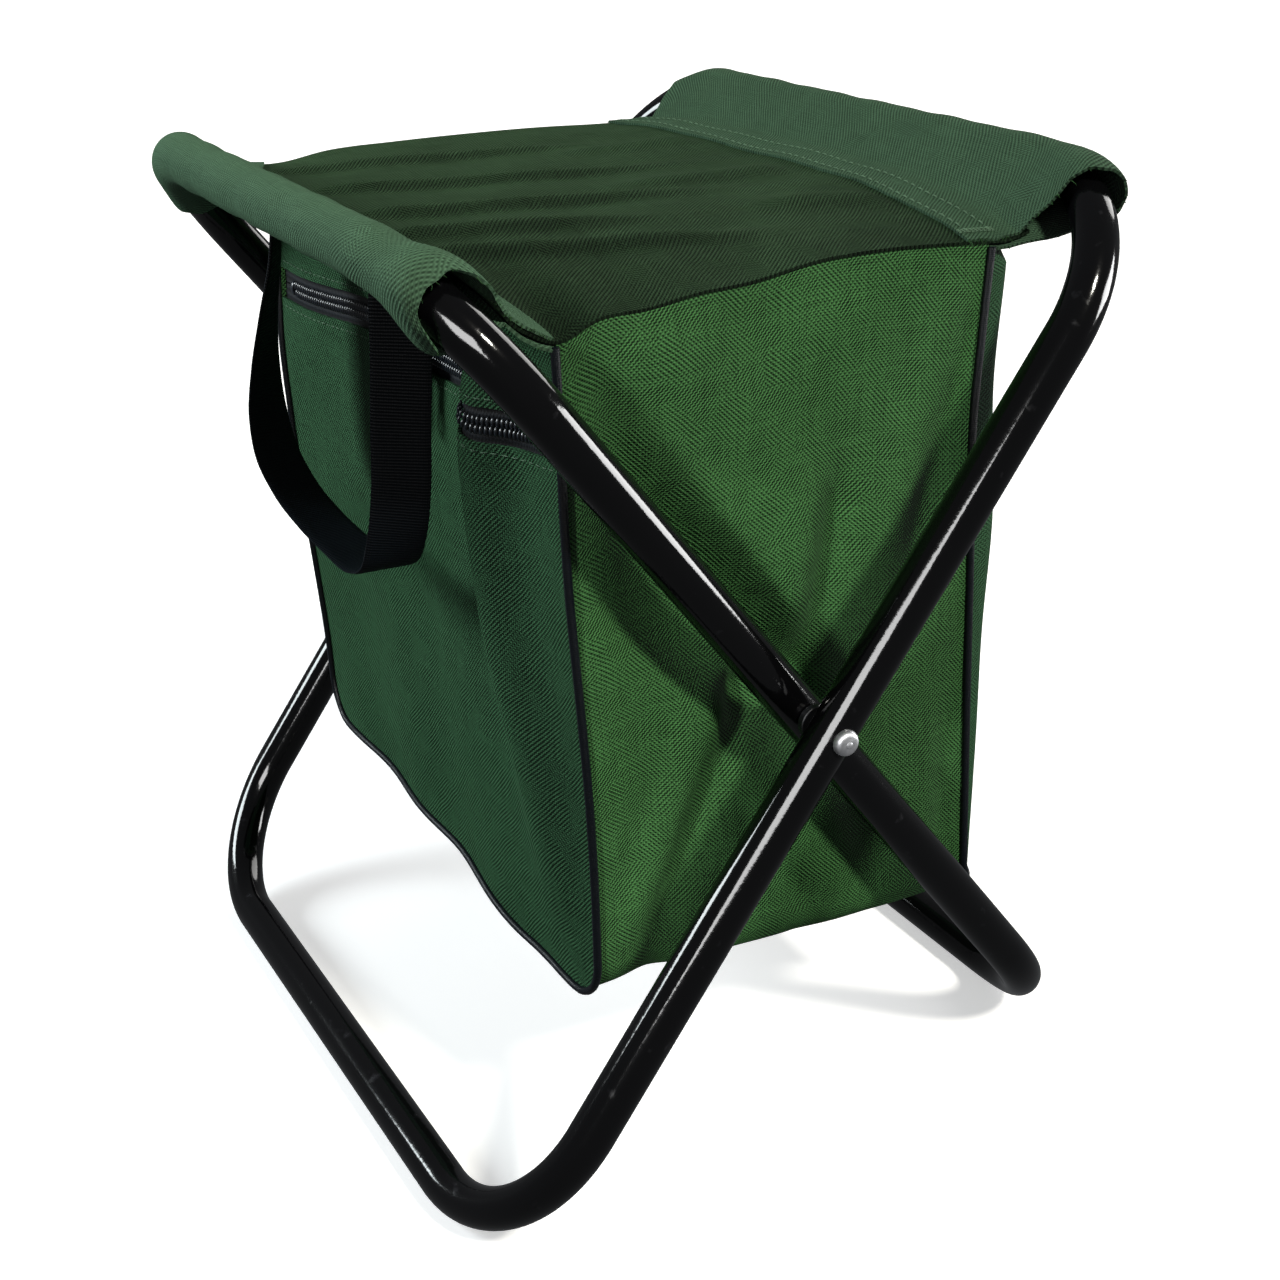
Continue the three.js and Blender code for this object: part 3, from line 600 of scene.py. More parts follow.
def put(name, shape, finish_name, body=None, nodes=()):
    """Makes a piece of a shape: smooth faces, sharp at its rims, in metres at the origin. The piece
    rides on its body, takes its finish and takes the place of its nodes."""
    points, faces, uv = shape
    mesh = bpy.data.meshes.new(name)
    loops = np.concatenate([f.ravel() for f in faces]).astype(np.int32)
    sizes = np.concatenate([np.full(len(f), f.shape[1]) for f in faces])
    starts = np.concatenate([[0], np.cumsum(sizes)[:-1]]).astype(np.int32)
    mesh.vertices.add(len(points))
    mesh.vertices.foreach_set("co", (points * MM).astype(np.float32).ravel())
    mesh.loops.add(len(loops))
    mesh.loops.foreach_set("vertex_index", loops)
    mesh.polygons.add(len(starts))
    mesh.polygons.foreach_set("loop_start", starts)
    layer = mesh.uv_layers.new(name="cloth")
    flat = np.zeros((len(points), 2)) if uv is None else uv
    layer.data.foreach_set("uv", flat[loops].astype(np.float32).ravel())
    mesh.update(calc_edges=True)
    mesh.validate()
    mesh.shade_smooth()
    mesh.set_sharp_from_angle(angle=SHARP_EDGE)
    mesh.materials.append(finish(finish_name))
    obj = bpy.data.objects.new(name, mesh)
    bpy.context.scene.collection.objects.link(obj)
    if body:
        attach(obj, body)
    if nodes:
        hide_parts(*nodes)
    return obj


def bent(obj, way):
    """Puts the piece's transform into its mesh, so that it sits at the origin; way is not used."""
    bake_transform(obj)


# Frame and pivots


TUBE_SIDES, BEND_STEPS, RUN_STEPS = 40, 29, 14
# Shares by which a bend presses the tube flat in its plane and widens it across
BEND_FLAT, BEND_WIDE = 0.06, 0.005


def leg_rise_run():
    """How far a leg rises, and how far it runs, from its floor bar to its rail."""
    return mm("rail_height") - mm("tube") / 2, mm("rail_spread") + mm("bar_spread")


def frame_lean():
    """Angle between a leg and the upright."""
    rise, run = leg_rise_run()
    return math.atan2(run, rise)


def loop_axes(sign):
    """Directions in a loop's plane: down the leg, and across the plane towards the middle and up."""
    lean = frame_lean()
    down = np.array([0.0, -sign * math.sin(lean), -math.cos(lean)])
    inboard = np.array([0.0, -sign * math.cos(lean), math.sin(lean)])
    rail = np.array([0.0, sign * mm("rail_spread"), mm("rail_height")])
    return down, inboard, rail


def loop_shape(sign, half):
    """Tube loop: four bends and four runs of a rounded rectangle, with a round profile that the
    bends press a little flat."""
    down, inboard, rail = loop_axes(sign)
    bend, leg = mm("bend"), math.hypot(*leg_rise_run())
    t = np.linspace(0.0, 1.0, BEND_STEPS)
    straight = np.linspace(0.0, 1.0, RUN_STEPS)[1:-1]
    angle = (np.arange(4)[:, None] + t) * np.pi / 2
    centre_x = np.array([1, 1, -1, -1])[:, None] * (half - bend)
    centre_s = np.array([bend, leg - bend, leg - bend, bend])[:, None]

    def with_runs(bends):
        last, after = bends[:, -1:], np.roll(bends[:, :1], -1, 0)
        return np.concatenate([bends, last + (after - last) * straight], 1).reshape(-1, 1)

    x = with_runs(centre_x + bend * np.sin(angle))
    s = with_runs(centre_s - bend * np.cos(angle))
    turn = np.concatenate([angle, angle[:, -1:] * np.ones(len(straight))], 1).reshape(-1, 1)
    press = np.tile(np.concatenate([np.sin(np.pi * t) ** 0.5, 0.0 * straight]), 4)[:, None, None]
    centre = rail + s * down + x * EX
    out = np.cos(turn) * -down + np.sin(turn) * EX
    side = around(TUBE_SIDES)[:, None]
    r = mm("tube") / 2
    ring = centre[:, None] + r * (1.0 - BEND_FLAT * press) * np.cos(side) * out[:, None]
    ring = ring + r * (1.0 + BEND_WIDE * press) * np.sin(side) * inboard
    quads = grid_quads(len(x), TUBE_SIDES, wrap_rows=True, wrap_cols=True)
    return outward(ring.reshape(-1, 3), [quads])


def rail_stations(sign, half, q):
    """Places along a rail and into its bends at the distance q from the middle, with the outward
    and inboard directions there and the run of the rail."""
    down, inboard, rail = loop_axes(sign)
    bend = mm("bend")
    q = q[:, None]
    far, side = np.abs(q), np.sign(q)
    phi = np.clip((far - (half - bend)) / bend, 0.0, None)
    x = side * (np.minimum(far, half - bend) + bend * np.sin(phi))
    centre = rail + bend * (1 - np.cos(phi)) * down + x * EX
    out = np.cos(phi) * -down + side * np.sin(phi) * EX
    along = np.cos(phi) * EX + side * np.sin(phi) * down
    return centre, out, np.broadcast_to(inboard, out.shape), along


class STOOL_OT_frame(bpy.types.Operator):
    """The two bent tube loops"""

    bl_idname = "stool.frame"
    bl_label = "Tube loops"

    def execute(self, context):
        for kind, sign in (("outer", 1), ("inner", -1)):
            shape = loop_shape(sign, mm(kind + "_half"))
            put(kind + "_loop", shape, "frame_coat", kind + "_frame", [kind + "_frame_tube"])
        return {"FINISHED"}


DOME_RADIUS, DOME_STEPS = 4.5, 12
# The rivet's head sinks this far into the tube
HEAD_SUNK = 0.6
# Rivet as radius and place: from its tail, from the seat of its head and from the top of its dome
RIVET_TAIL = [(0, 0.0), (2.6, 0.0), (3.5, 0.4), (3.8, 1.0), (3.8, 1.8), (2.5, 1.8)]
RIVET_SEAT = [(2.5, 0.0), (4.2, 0.0), (DOME_RADIUS, 0.3)]
RIVET_TOP = [(1.2, -0.4), (1.1, -0.15), (0.7, 0.0), (0, 0.0)]
WASHER_HOLE, WASHER_RIM, WASHER_EDGE = 2.8, 6.0, 0.25


def reach_of(node):
    """Nearest and farthest distance of a solid from the middle of the stool."""
    return sorted(abs(corner[0]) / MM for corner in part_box(node))


class STOOL_OT_pivots(bpy.types.Operator):
    """Domed rivets with their washers"""

    bl_idname = "stool.pivots"
    bl_label = "Pivots"

    def execute(self, context):
        seat = mm("outer_half") + mm("tube") / 2 - HEAD_SUNK
        quarter = np.linspace(0.0, 1.0, DOME_STEPS)[:-2] * math.pi / 2
        for label, side in (("right", 1.0), ("left", -1.0)):
            node = "pivot_rivet_" + label
            tail, head = reach_of(node)
            crown = head - seat - 1.3
            profile = [(r, tail + x) for r, x in RIVET_TAIL] + [(r, seat + x) for r, x in RIVET_SEAT]
            profile += [(DOME_RADIUS * math.cos(a) ** 0.4, seat + 0.9 + crown * math.sin(a)) for a in quarter]
            profile += [(r, head + x) for r, x in RIVET_TOP]
            shape = turned([(r, side * x) for r, x in profile], poles=True)
            put("rivet_" + label, shape, "rivet_steel", "outer_frame", [node])
            for kind in ("spacer", "backing"):
                node = f"{kind}_washer_{label}"
                a, b = reach_of(node)
                c = min(WASHER_EDGE, (b - a) / 4)
                rim = [(WASHER_RIM - c, a), (WASHER_RIM, a + c), (WASHER_RIM, b - c), (WASHER_RIM - c, b)]
                ring = [(WASHER_HOLE, a), *rim, (WASHER_HOLE, b)]
                shape = turned([(r, side * x) for r, x in ring], poles=False)
                put(f"{kind}_{label}", shape, "dark_washer", "outer_frame", [node])
        return {"FINISHED"}


# Seat cloth


# Height of the seat along y: on its middle line and on its right and left seams
SEAT_MID = [(-106, 333.4), (-85, 332.0), (-40, 330.7), (0, 330.2), (45, 330.7), (78, 332.0), (102, 333.0)]
SEAT_RIGHT = [
    (-108, 338), (-101, 334.5), (-96, 328), (-92, 322), (-86, 317.4), (-78, 313.6), (-62, 318.4),
    (-46, 318.8), (-28, 321), (-11, 321.6), (17, 325), (40, 325.2), (64, 323.8), (82, 322.4), (90, 321.8),
    (102, 324),
]
SEAT_LEFT = [
    (-108, 332), (-93, 330), (-76, 328.4), (-54, 331), (-24, 331.4), (7, 331.2), (40, 330.4), (68, 329),
    (102, 328),
]
# Soft ridges of the seat: both ends in x and y, height and width
SEAT_RIDGES = [
    (-92, -104, -72, 60, 2.5, 4.6),
    (-42, -106, -12, 66, 3.1, 4.8),
    (8, -106, 36, 52, 3.5, 5.0),
    (44, -106, 62, 8, 3.1, 4.8),
    (66, -104, 98, 34, 3.4, 5.6),
    (20, 74, 8, -10, 2.2, 8.0),
    (-50, 76, -66, 10, 2.0, 8.0),
    (82, 76, 60, 20, 2.4, 8.0),
]
SEAT_FRONT, SEAT_BACK = -105.0, 100.0
# In front of this line the seat changes from the bag's width to the sleeve's
SEAT_TURN = -76.0
# Half width of the level middle
SEAT_LEVEL = 42.0
SEAT_COLS, SEAT_BACK_ROWS = 125, 52
# Row at which the seat is parted into a front and a back half
SEAT_SPLIT = 53
# The sleeve's line on the seat is straight as far as this from the middle
APEX_STRAIGHT = 78.0
# At its right and its left end: how far it runs past the bag's side, and how far it is drawn in
APEX_PAST, APEX_DRAWN = (1.0, -4.0), (9.0, 12.5)


def seat_height(x, y):
    """Height of the seat cloth: a shallow sag along the middle that falls to the two side seams, with
    soft ridges that run from rail to rail."""
    half = mm("bag_half")
    mid = curve_through(y, SEAT_MID)
    edge = np.where(x > 0, curve_through(y, SEAT_RIGHT), curve_through(y, SEAT_LEFT))
    reach = np.clip((np.abs(x) - SEAT_LEVEL) / (half - SEAT_LEVEL), 0.0, 1.05) ** 2.1
    z = mid + (edge - mid) * reach
    for x0, y0, x1, y1, tall, wide in SEAT_RIDGES:
        share = (y - y0) / (y1 - y0)
        fade = ease((share - 0.03) / 0.15) * ease((1.0 - share) / 0.45)
        z = z + tall * fade * bell(x, x0 + (x1 - x0) * share, wide)
    side = ease((half - np.abs(x)) / 10.0)
    return z + 0.5 * side * np.sin(x / 11.0 + y / 23.0) * np.sin(y / 17.0 - x / 31.0)


def on_seat(x, y, lift):
    """Points above or below the seat cloth."""
    return xyz(x, y, seat_height(x, y) + lift)


def front_apex(q):
    """Where the front sleeve meets the seat, at the distance q along the rail: in line with the rail, and
    drawn in towards the bag at both ends."""
    reach, half = mm("front_sleeve"), mm("bag_half")
    drawn = ease((np.abs(q) - APEX_STRAIGHT) / (reach - APEX_STRAIGHT)) ** 1.5
    x = np.maximum(q * (half + np.where(q > 0, *APEX_PAST)) / reach, 3.0 - half)
    return x, SEAT_FRONT + np.where(q > 0, *APEX_DRAWN) * drawn


def seat_grid():
    """Seat as a grid: rows from the front sleeve to the back lap, each as wide as the cloth is there."""
    across = np.linspace(-1.0, 1.0, SEAT_COLS)
    front, back = np.linspace(SEAT_FRONT, 0.0, SEAT_SPLIT + 1), np.linspace(0.0, SEAT_BACK, SEAT_BACK_ROWS)
    lines = np.concatenate([front, back[1:]])[:, None]
    apex_x, apex_y = front_apex(across * mm("front_sleeve"))
    near = np.clip((SEAT_TURN - lines) / (SEAT_TURN - SEAT_FRONT), 0.0, 1.0)
    x = across * (mm("bag_half") + 0.8) * (1 - near) + apex_x * near
    return on_seat(x, lines + (apex_y - SEAT_FRONT) * near, 0.0)


class STOOL_OT_seat(bpy.types.Operator):
    """Seat cloth in two halves, a front and a back one"""

    bl_idname = "stool.seat"
    bl_label = "Seat"

    def execute(self, context):
        grid = seat_grid()
        uv = thread_uv(grid)
        shaded = bpy.data.collections.new("not_lit_by_side_window")
        for end, rows, nodes, flat in (
            ("front", slice(None, SEAT_SPLIT + 1), ["seat_panel"], (0.248, 0.106)),
            ("back", slice(SEAT_SPLIT, None), [], (0.250, 0.102)),
        ):
            shape = shell(grid[rows], mm("cloth"), uv[rows])
            half = put("seat_" + end, shape, "seat_cloth", None, nodes)
            bent(half, end + "_rail")
            shaded.objects.link(half)
            end + "_sleeve_cloth"
        for entry in shaded.collection_objects:
            entry.light_linking.link_state = "EXCLUDE"
        bpy.data.objects["side_window"].light_linking.receiver_collection = shaded
        return {"FINISHED"}


# Rail sleeves


SLEEVE_STEPS, ARC_STEPS, TAIL_STEPS = 131, 34, 9
# Wrinkles round a sleeve: height, length and start of each wave
SLEEVE_WRINKLES = [(0.16, 6.5, 0.0), (0.12, 3.7, 1.0)]
# The cut edge is uneven over this length
WORN_LENGTH = 9.0
# Length over which the front sleeve opens to its rim
RIM_LENGTH = 42.0
# Open rim of the front sleeve's right mouth, from the seat's corner over the rail and down in front of it
FRONT_RIM = [
    (124.5, -78.2, 314.4), (125, -86.1, 318.9), (125.5, -92.2, 323.5), (126, -95.4, 328.4),
    (126.5, -97.5, 332.2), (127, -100.4, 335.4), (128, -105.3, 338.4), (128.5, -109.7, 339.7),
    (129.5, -115.4, 338.8), (130.5, -120, 336), (131, -122.2, 332.4), (131, -121.6, 326.6),
    (129.5, -118.5, 320.6), (127, -115.4, 316.6),
]
# Places in y of the back sleeve: where it leaves the seat, and the edge of its lap
BACK_TAKE_OFF, BACK_LAP_EDGE = 98.0, 76.5
# The back lap's lines bow towards the front at both ends
LAP_BOW = 2.5
# Heights of the sleeves' layers above the seat cloth
FRONT_LAP, FRONT_TOP, FRONT_UNDER = 1.05, 1.1, -2.4
BACK_LAP, BACK_TOP, BACK_UNDER = 1.15, 1.2, -2.2


def wrapped(centre, out, inboard, radius, top, low):
    """Cloth round a rail: straight from the top point to where it touches the circle, round the outer
    side, and straight from there to the low point."""

    def touch(point, way):
        a = ((point - centre) * out).sum(-1)
        b = ((point - centre) * inboard).sum(-1)
        return np.arctan2(b, a) + way * np.arccos(np.clip(radius / np.hypot(a, b), -1.0, 1.0))

    start, end = touch(top, -1.0), touch(low, 1.0)
    end = np.where(end > start, end - 2 * np.pi, end)
    angle = start[:, None] + (end - start)[:, None] * np.linspace(0.0, 1.0, ARC_STEPS)
    ring = np.cos(angle)[..., None] * out[:, None] + np.sin(angle)[..., None] * inboard[:, None]
    arc = centre[:, None] + radius[:, None, None] * ring
    share = np.linspace(0.0, 1.0, TAIL_STEPS)[:-1, None]
    rise = top[:, None] + (arc[:, :1] - top[:, None]) * share
    fall = arc[:, -1:] + (low[:, None] - arc[:, -1:]) * (share + share[1])
    return rise, arc, fall


def sleeve_body(sign, half, reach, mouths, longer=0.0):
    """Stations of a sleeve with its radius, looser towards the two mouths, where it leaves the bend of
    the tube; mouths gives the radius, that shift and the length it takes for the left and the right end,
    and the left end is longer by the last size."""
    q = np.linspace(-reach - longer, reach, SLEEVE_STEPS)
    centre, out, inboard, along = rail_stations(sign, half, q)
    radius = mm("sleeve")
    for high, long, start in SLEEVE_WRINKLES:
        radius = radius + high * np.sin(q / long + start)
    for side, (wide, shift, over) in zip((-1.0, 1.0), mouths):
        loose = ease((side * q - reach + over) / over)
        radius = radius + (wide - mm("sleeve")) * loose
        centre = centre + np.array(shift) * loose[:, None]
    return q, centre, out, inboard, along, radius


def worn_ends(grid, along, q):
    """Uneven cut at the mouths: the last rows move along the rail by a wavy amount."""
    end = ease((q - q[-1] + WORN_LENGTH) / WORN_LENGTH) - ease((q[0] + WORN_LENGTH - q) / WORN_LENGTH)
    place = np.arange(grid.shape[1])
    wave = 0.5 * np.sin(place * 0.47) + 0.35 * np.sin(place * 1.13 + 1.0)
    return grid + (end[:, None] * wave)[..., None] * along[:, None]


def front_sleeve_grid():
    """Front sleeve: tail under the seat, lower layer, round the rail and down on the seat's edge; towards
    the right mouth each line moves over to its place on the open rim."""
    left = (mm("sleeve_mouth") + 0.8, (0.0, 0.3, 2.4), 44.0)
    right = (mm("open_mouth"), (0.0, 0.0, 1.0), 44.0)
    body = sleeve_body(-1, mm("inner_half"), mm("front_sleeve"), (left, right), longer=8.0)
    q, centre, out, inboard, along, radius = body
    x, y = front_apex(q)
    under = y + 3.0
    top, low = on_seat(x, y, FRONT_TOP), on_seat(x, under, FRONT_UNDER)
    rise, arc, fall = wrapped(centre, out, inboard, radius, top, low)
    lap = np.stack([on_seat(x, y + d, FRONT_LAP) for d in np.linspace(9.0, 0.0, 5)[:-1]], 1)
    tail = np.stack([on_seat(x, under + d, FRONT_UNDER) for d in (5, 10, 16)], 1)
    cover = np.concatenate([lap, rise, arc], 1)
    opened = ease((q - q[-1] + RIM_LENGTH) / RIM_LENGTH)[:, None, None] ** 1.4
    _, rim = along_knots(FRONT_RIM, cover.shape[1])
    cover = cover + opened * (rim - cover[-1])
    fall = fall + (cover[:, -1:] - arc[:, -1:]) * np.linspace(1.0, 0.0, fall.shape[1])[:, None]
    return worn_ends(np.concatenate([cover, fall, tail], 1), along, q)


def back_sleeve_grid():
    """Back sleeve: lap on the seat, up over the rail, round it and back under the seat."""
    left = (mm("sleeve_mouth"), (0.0, 0.8, -2.0), 44.0)
    right = (mm("sleeve_mouth") + 0.7, (2.0, 0.6, 0.4), 26.0)
    reach = mm("back_sleeve")
    q, centre, out, inboard, along, radius = sleeve_body(1, mm("outer_half"), reach, (left, right))
    x = q * (mm("bag_half") + 1.0) / reach
    bow = LAP_BOW * (q / reach) ** 2
    top = on_seat(x, BACK_TAKE_OFF - bow, BACK_TOP)
    low = on_seat(x, BACK_TAKE_OFF - 4.0 - bow, BACK_UNDER)
    rise, arc, fall = wrapped(centre, out, inboard, radius, top, low)
    places = np.linspace(BACK_LAP_EDGE, BACK_TAKE_OFF, 13)[:-1]
    lap = np.stack([on_seat(x, d - bow, BACK_LAP) for d in places], 1)
    tail = np.stack([on_seat(x, BACK_TAKE_OFF - d - bow, BACK_UNDER) for d in (8, 12)], 1)
    return worn_ends(np.concatenate([lap, rise, arc, fall, tail], 1), along, q)


FRAY_TAPER = np.array([1.0, 1.0, 0.95, 0.9, 0.8, 0.7, 0.0])
# A direction that no loose thread follows, to set its ring across it
FRAY_UP = np.array([0.31, 0.87, 0.38])
# Short threads all along a mouth, and the longer ones that stick out of some of it
SHORT_FRAY, LONG_FRAY = 0.9, 2.2


def frayed(edge, way, count, seed, reach):
    """Loose threads along a cut edge: each leaves the edge one way and bends over at random."""
    rng = np.random.default_rng(seed)
    at = edge[rng.integers(0, len(edge), count)]
    turn = unit(way + rng.normal(0.0, 0.55, (count, 3)))
    span = rng.uniform(0.35, 1.0, count)[:, None, None] * reach
    t = np.linspace(0.0, 1.0, len(FRAY_TAPER))[None, :, None]
    bend = rng.normal(0.0, 0.5, (count, 1, 3)) - 0.5 * EZ
    paths = at[:, None] + span * (turn[:, None] * t + bend * t * t)
    thick = rng.uniform(0.12, 0.2, count)[:, None] * FRAY_TAPER
    return strands(paths, thick, FRAY_UP, 4)


class STOOL_OT_sleeves(bpy.types.Operator):
    """Cloth sleeves round the two rails, with their frayed mouths"""

    bl_idname = "stool.sleeves"
    bl_label = "Rail sleeves"

    def execute(self, context):
        for end, grid, look, seed, flat, loop in (
            ("front", front_sleeve_grid(), "sleeve_cloth", 3, (0.255, 0.103), "inner_loop"),
            ("back", back_sleeve_grid(), "back_sleeve_cloth", 5, (0.262, 0.128), "outer_loop"),
        ):
            name = end + "_sleeve"
            shape = shell(grid, mm("cloth"))
            cloth = put(name + "_cloth", shape, look, None, [name, name + "_lap"])
            threads = joined(
                frayed(grid[-1], EX, 46, seed, SHORT_FRAY),
                frayed(grid[0], -EX, 40, seed + 1, SHORT_FRAY),
                frayed(grid[-1, 14:40], EX, 5, seed + 20, LONG_FRAY),
                frayed(grid[-1, :10], EX, 14, seed + 30, LONG_FRAY),
            )
            fray = put(name + "_fray", threads, "dark_thread", None)
            for piece in (cloth, fray):
                bent(piece, end + "_rail")
        return {"FINISHED"}


# Bag surfaces


# Front edge of the bag at its two sides, as height and y
EDGE_RIGHT = [(78, -71), (120, -70.6), (156, -71.6), (194, -73.6), (230, -75.6), (312, -76.6), (326, -77)]
EDGE_LEFT = [
    (78, -72.5), (101, -72.8), (123, -73.3), (160, -75.5), (199, -78.2), (230, -79.5), (259, -80),
    (285, -78.5), (326, -78),
]
# Vertical fold of the front panel: its place in x, and how far it stands out, by height
FOLD_PLACE = [
    (80, 101), (125, 94), (166, 83), (185, 76), (225, 70), (262, 70), (284, 74), (300, 76), (326, 78),
]
FOLD_OUT = [
    (80, 0.5), (110, 3.6), (150, 6.8), (200, 9.5), (250, 10.5), (290, 10.0), (312, 5.0), (326, 2.0),
]
# Height of the zip along x, for a zip height of ZIP_BASE
ZIP_BASE = 282.4
ZIP_LINE = [
    (-124, 282), (-101, 282.6), (-70, 284.6), (-45, 286.8), (-24, 288), (-4, 286.6), (12, 284.8),
    (24, 284.4), (38, 285.2), (52, 285.4), (66, 280.8), (77, 277.6), (88, 278), (101, 278.8), (112, 279.8),
    (124, 281.6),
]
# Back of the bag at its edge and where it swells, as height and y
BACK_EDGE = [(78, 84.5), (153, 82), (209, 80.5), (261, 79), (290, 81), (326, 84)]
BACK_SWELL = [(78, 90.5), (115, 91.5), (165, 94), (210, 94.5), (326, 94.5)]
# Bottom of the bag along its front edge, as x and height
FLOOR_LINE = [
    (-124, 87.5), (-90, 87), (-49, 85.2), (-9, 83.6), (10, 82.8), (30, 80.2), (47, 77.8), (65, 75.4),
    (80, 75), (96, 75), (110, 75.2), (124, 75.6),
]
# Cloth waves: seed, shortest and longest wave, and amount; the sides have their own seeds
FRONT_RIPPLE, BACK_RIPPLE = (11, 60.0, 150.0, 1.5), (23, 50.0, 130.0, 1.2)
FLOOR_RIPPLE, SIDE_RIPPLE = (41, 50.0, 120.0, 0.7), (45.0, 120.0, 1.1)
# Swells of the front: amount in y, then middle and width in z and in x
FRONT_SWELLS = [(-3.0, (120, 60), (40, 60)), (3.2, (250, 80), (22, 40))]
# Bottom of the bag: sag, slope towards the back, and the gather behind the near corner
FLOOR_SAG, FLOOR_SLOPE, FLOOR_GATHER = 1.5, 0.05, 2.8
# Sides of the bag: slack belly, and the hollow and swelling along the inner leg
SIDE_BELLY, LEG_HOLLOW, LEG_SWELL = 1.2, 5.0, 3.5
# Gusset: heights between which its edges are looked up, drop under the seat's seam, side in from the bag's
GUSSET_HEIGHTS, SEAM_DROP, SIDE_IN = (322.0, 90.0), 0.5, 0.4
# Grids as columns and rows
FLAP_GRID, TAPE_GRID, LINING_GRID = (161, 15), (181, 7), (41, 30)
# Depth of the bag's bottom from its front in y, and where its sag starts
BAG_DEPTH, FLOOR_FRONT, SAG_FRONT = 164.0, -76.0, -78.0
# Height at which a panel's y is looked up for its foot, and the back panel's own foot in y
FOOT_Z, BACK_FOOT = 84.0, 86.0
# Upper edges of the flap and the back panel in y, and how far they lie under the seat
FLAP_TOP, BACK_PANEL_TOP, UNDER_SEAT = -78.0, 84.0, 2.4
# End panels are laid out at this height and stretched to their tops; rows are denser below
PANEL_TALL, PANEL_DENSE = 200.0, 1.25
# Folds of the right and left side: two ends in y and z, width and depth; a positive depth goes inwards
RIGHT_FOLDS = [
    ((24, 240), (12, 186), 7.0, 4.2),
    ((85, 303), (60, 228), 7.0, 3.4),
    ((-10, 180), (-46, 104), 7.5, 4.6),
    ((76, 142), (75, 100), 5.0, 3.2),
    ((-62, 300), (-20, 262), 11.0, 2.2),
    ((-60, 220), (-14, 182), 8.0, 2.6),
    ((24, 150), (40, 104), 8.0, 2.6),
    ((10, 96), (-10, 128), 5.0, 1.8),
    ((-66, 110), (-50, 150), 6.0, 1.5),
]
LEFT_FOLDS = [
    ((-40, 260), (-6, 190), 8.0, 3.4),
    ((60, 290), (30, 210), 8.0, 3.2),
    ((0, 180), (34, 106), 7.5, 4.0),
    ((-60, 150), (-30, 104), 7.0, 2.8),
    ((-20, 300), (10, 268), 9.0, 2.0),
]


def bag_floor(x, y):
    """Height of the bag's bottom: it hangs lower at the right and towards the back, with a small gather
    behind the near corner."""
    sag = FLOOR_SAG * np.cos(np.clip(x / 118.0, -1, 1) * np.pi / 2)
    sag = sag * np.sin((y - SAG_FRONT) / BAG_DEPTH * np.pi)
    gather = FLOOR_GATHER * bell(y, -50.0, 14.0) * ease((x - 60.0) / 50.0)
    return curve_through(x, FLOOR_LINE) - FLOOR_SLOPE * (y - FLOOR_FRONT) - sag + gather


def ripple(a, b, seed, low, high, amount):
    """Gentle cloth waves: a few sine waves of random direction and length."""
    rng = np.random.default_rng(seed)
    z = 0.0
    for _ in range(7):
        way = rng.uniform(0.0, np.pi)
        turn = 2 * np.pi / rng.uniform(low, high)
        z = z + np.sin((a * math.cos(way) + b * math.sin(way)) * turn + rng.uniform(0.0, 6.28))
    return amount * z / 2.6


def crease(a, b, start, end, width, depth):
    """Fold between two points of a panel: a soft trough with a low ridge along one side."""
    d = np.array(end, float) - np.array(start, float)
    t = np.clip(((a - start[0]) * d[0] + (b - start[1]) * d[1]) / (d @ d), 0.0, 1.0)
    da = a - start[0] - t * d[0]
    db = b - start[1] - t * d[1]
    side = (da * d[1] - db * d[0]) / np.linalg.norm(d)
    gone = da * da + db * db - side * side
    fade = np.exp(-gone / (2.0 * width) ** 2)
    return depth * fade * (bell(side, 0.0, width) - 0.55 * bell(side, 1.9 * width, 1.3 * width))


def front_y(x, z):
    """Front of the bag: between its two side edges it sags in and out, with one upright fold near the
    right that turns sharply on its left side and falls slowly to the piping."""
    half = mm("bag_half")
    share = np.clip((x + half) / (2 * half), 0.0, 1.0)
    y = curve_through(z, EDGE_LEFT) * (1 - share) + curve_through(z, EDGE_RIGHT) * share
    inside = 1 - np.abs(np.clip(x / half, -1, 1)) ** 4
    for amount, in_z, in_x in FRONT_SWELLS:
        y = y + inside * amount * bell(z, *in_z) * bell(x, *in_x)
    off = x - curve_through(z, FOLD_PLACE)
    steep = 8.0 + 9.0 * np.clip((300.0 - z) / 200.0, 0, 1)
    y = y - curve_through(z, FOLD_OUT) * bell(off, 0.0, np.where(off < 0, steep, 18.0))
    return y + inside * ripple(x, z, *FRONT_RIPPLE)


def back_y(x, z):
    """Back of the bag: its edges lie level and all between them swells outwards in soft waves."""
    inside = 1 - np.abs(np.clip(x / mm("bag_half"), -1, 1)) ** 60
    edge = curve_through(z, BACK_EDGE)
    swell = np.maximum(curve_through(z, BACK_SWELL) - edge, 0.0)
    out = swell * ease((z - bag_floor(x, BACK_FOOT)) / 15.0) * ease((325.0 - z) / 12.0)
    return edge + inside * (out + ripple(x, z, *BACK_RIPPLE))


def leg_groove(y, z):
    """Hollow along the inner leg: the cloth swells above the leg, turns in, lies low behind it and comes
    back."""
    lean = frame_lean()
    off = (z - mm("rail_height")) * math.sin(lean) + (y + mm("rail_spread")) * math.cos(lean)
    hollow = ease((27.0 - off) / 18.0) * ease((off + 30.0) / 22.0)
    raised = ease((off - 9.0) / 18.0) * ease((85.0 - off) / 45.0)
    return (LEG_HOLLOW * hollow - LEG_SWELL * raised) * ease((y + 72.0) / 20.0) * ease((30.0 - y) / 30.0)


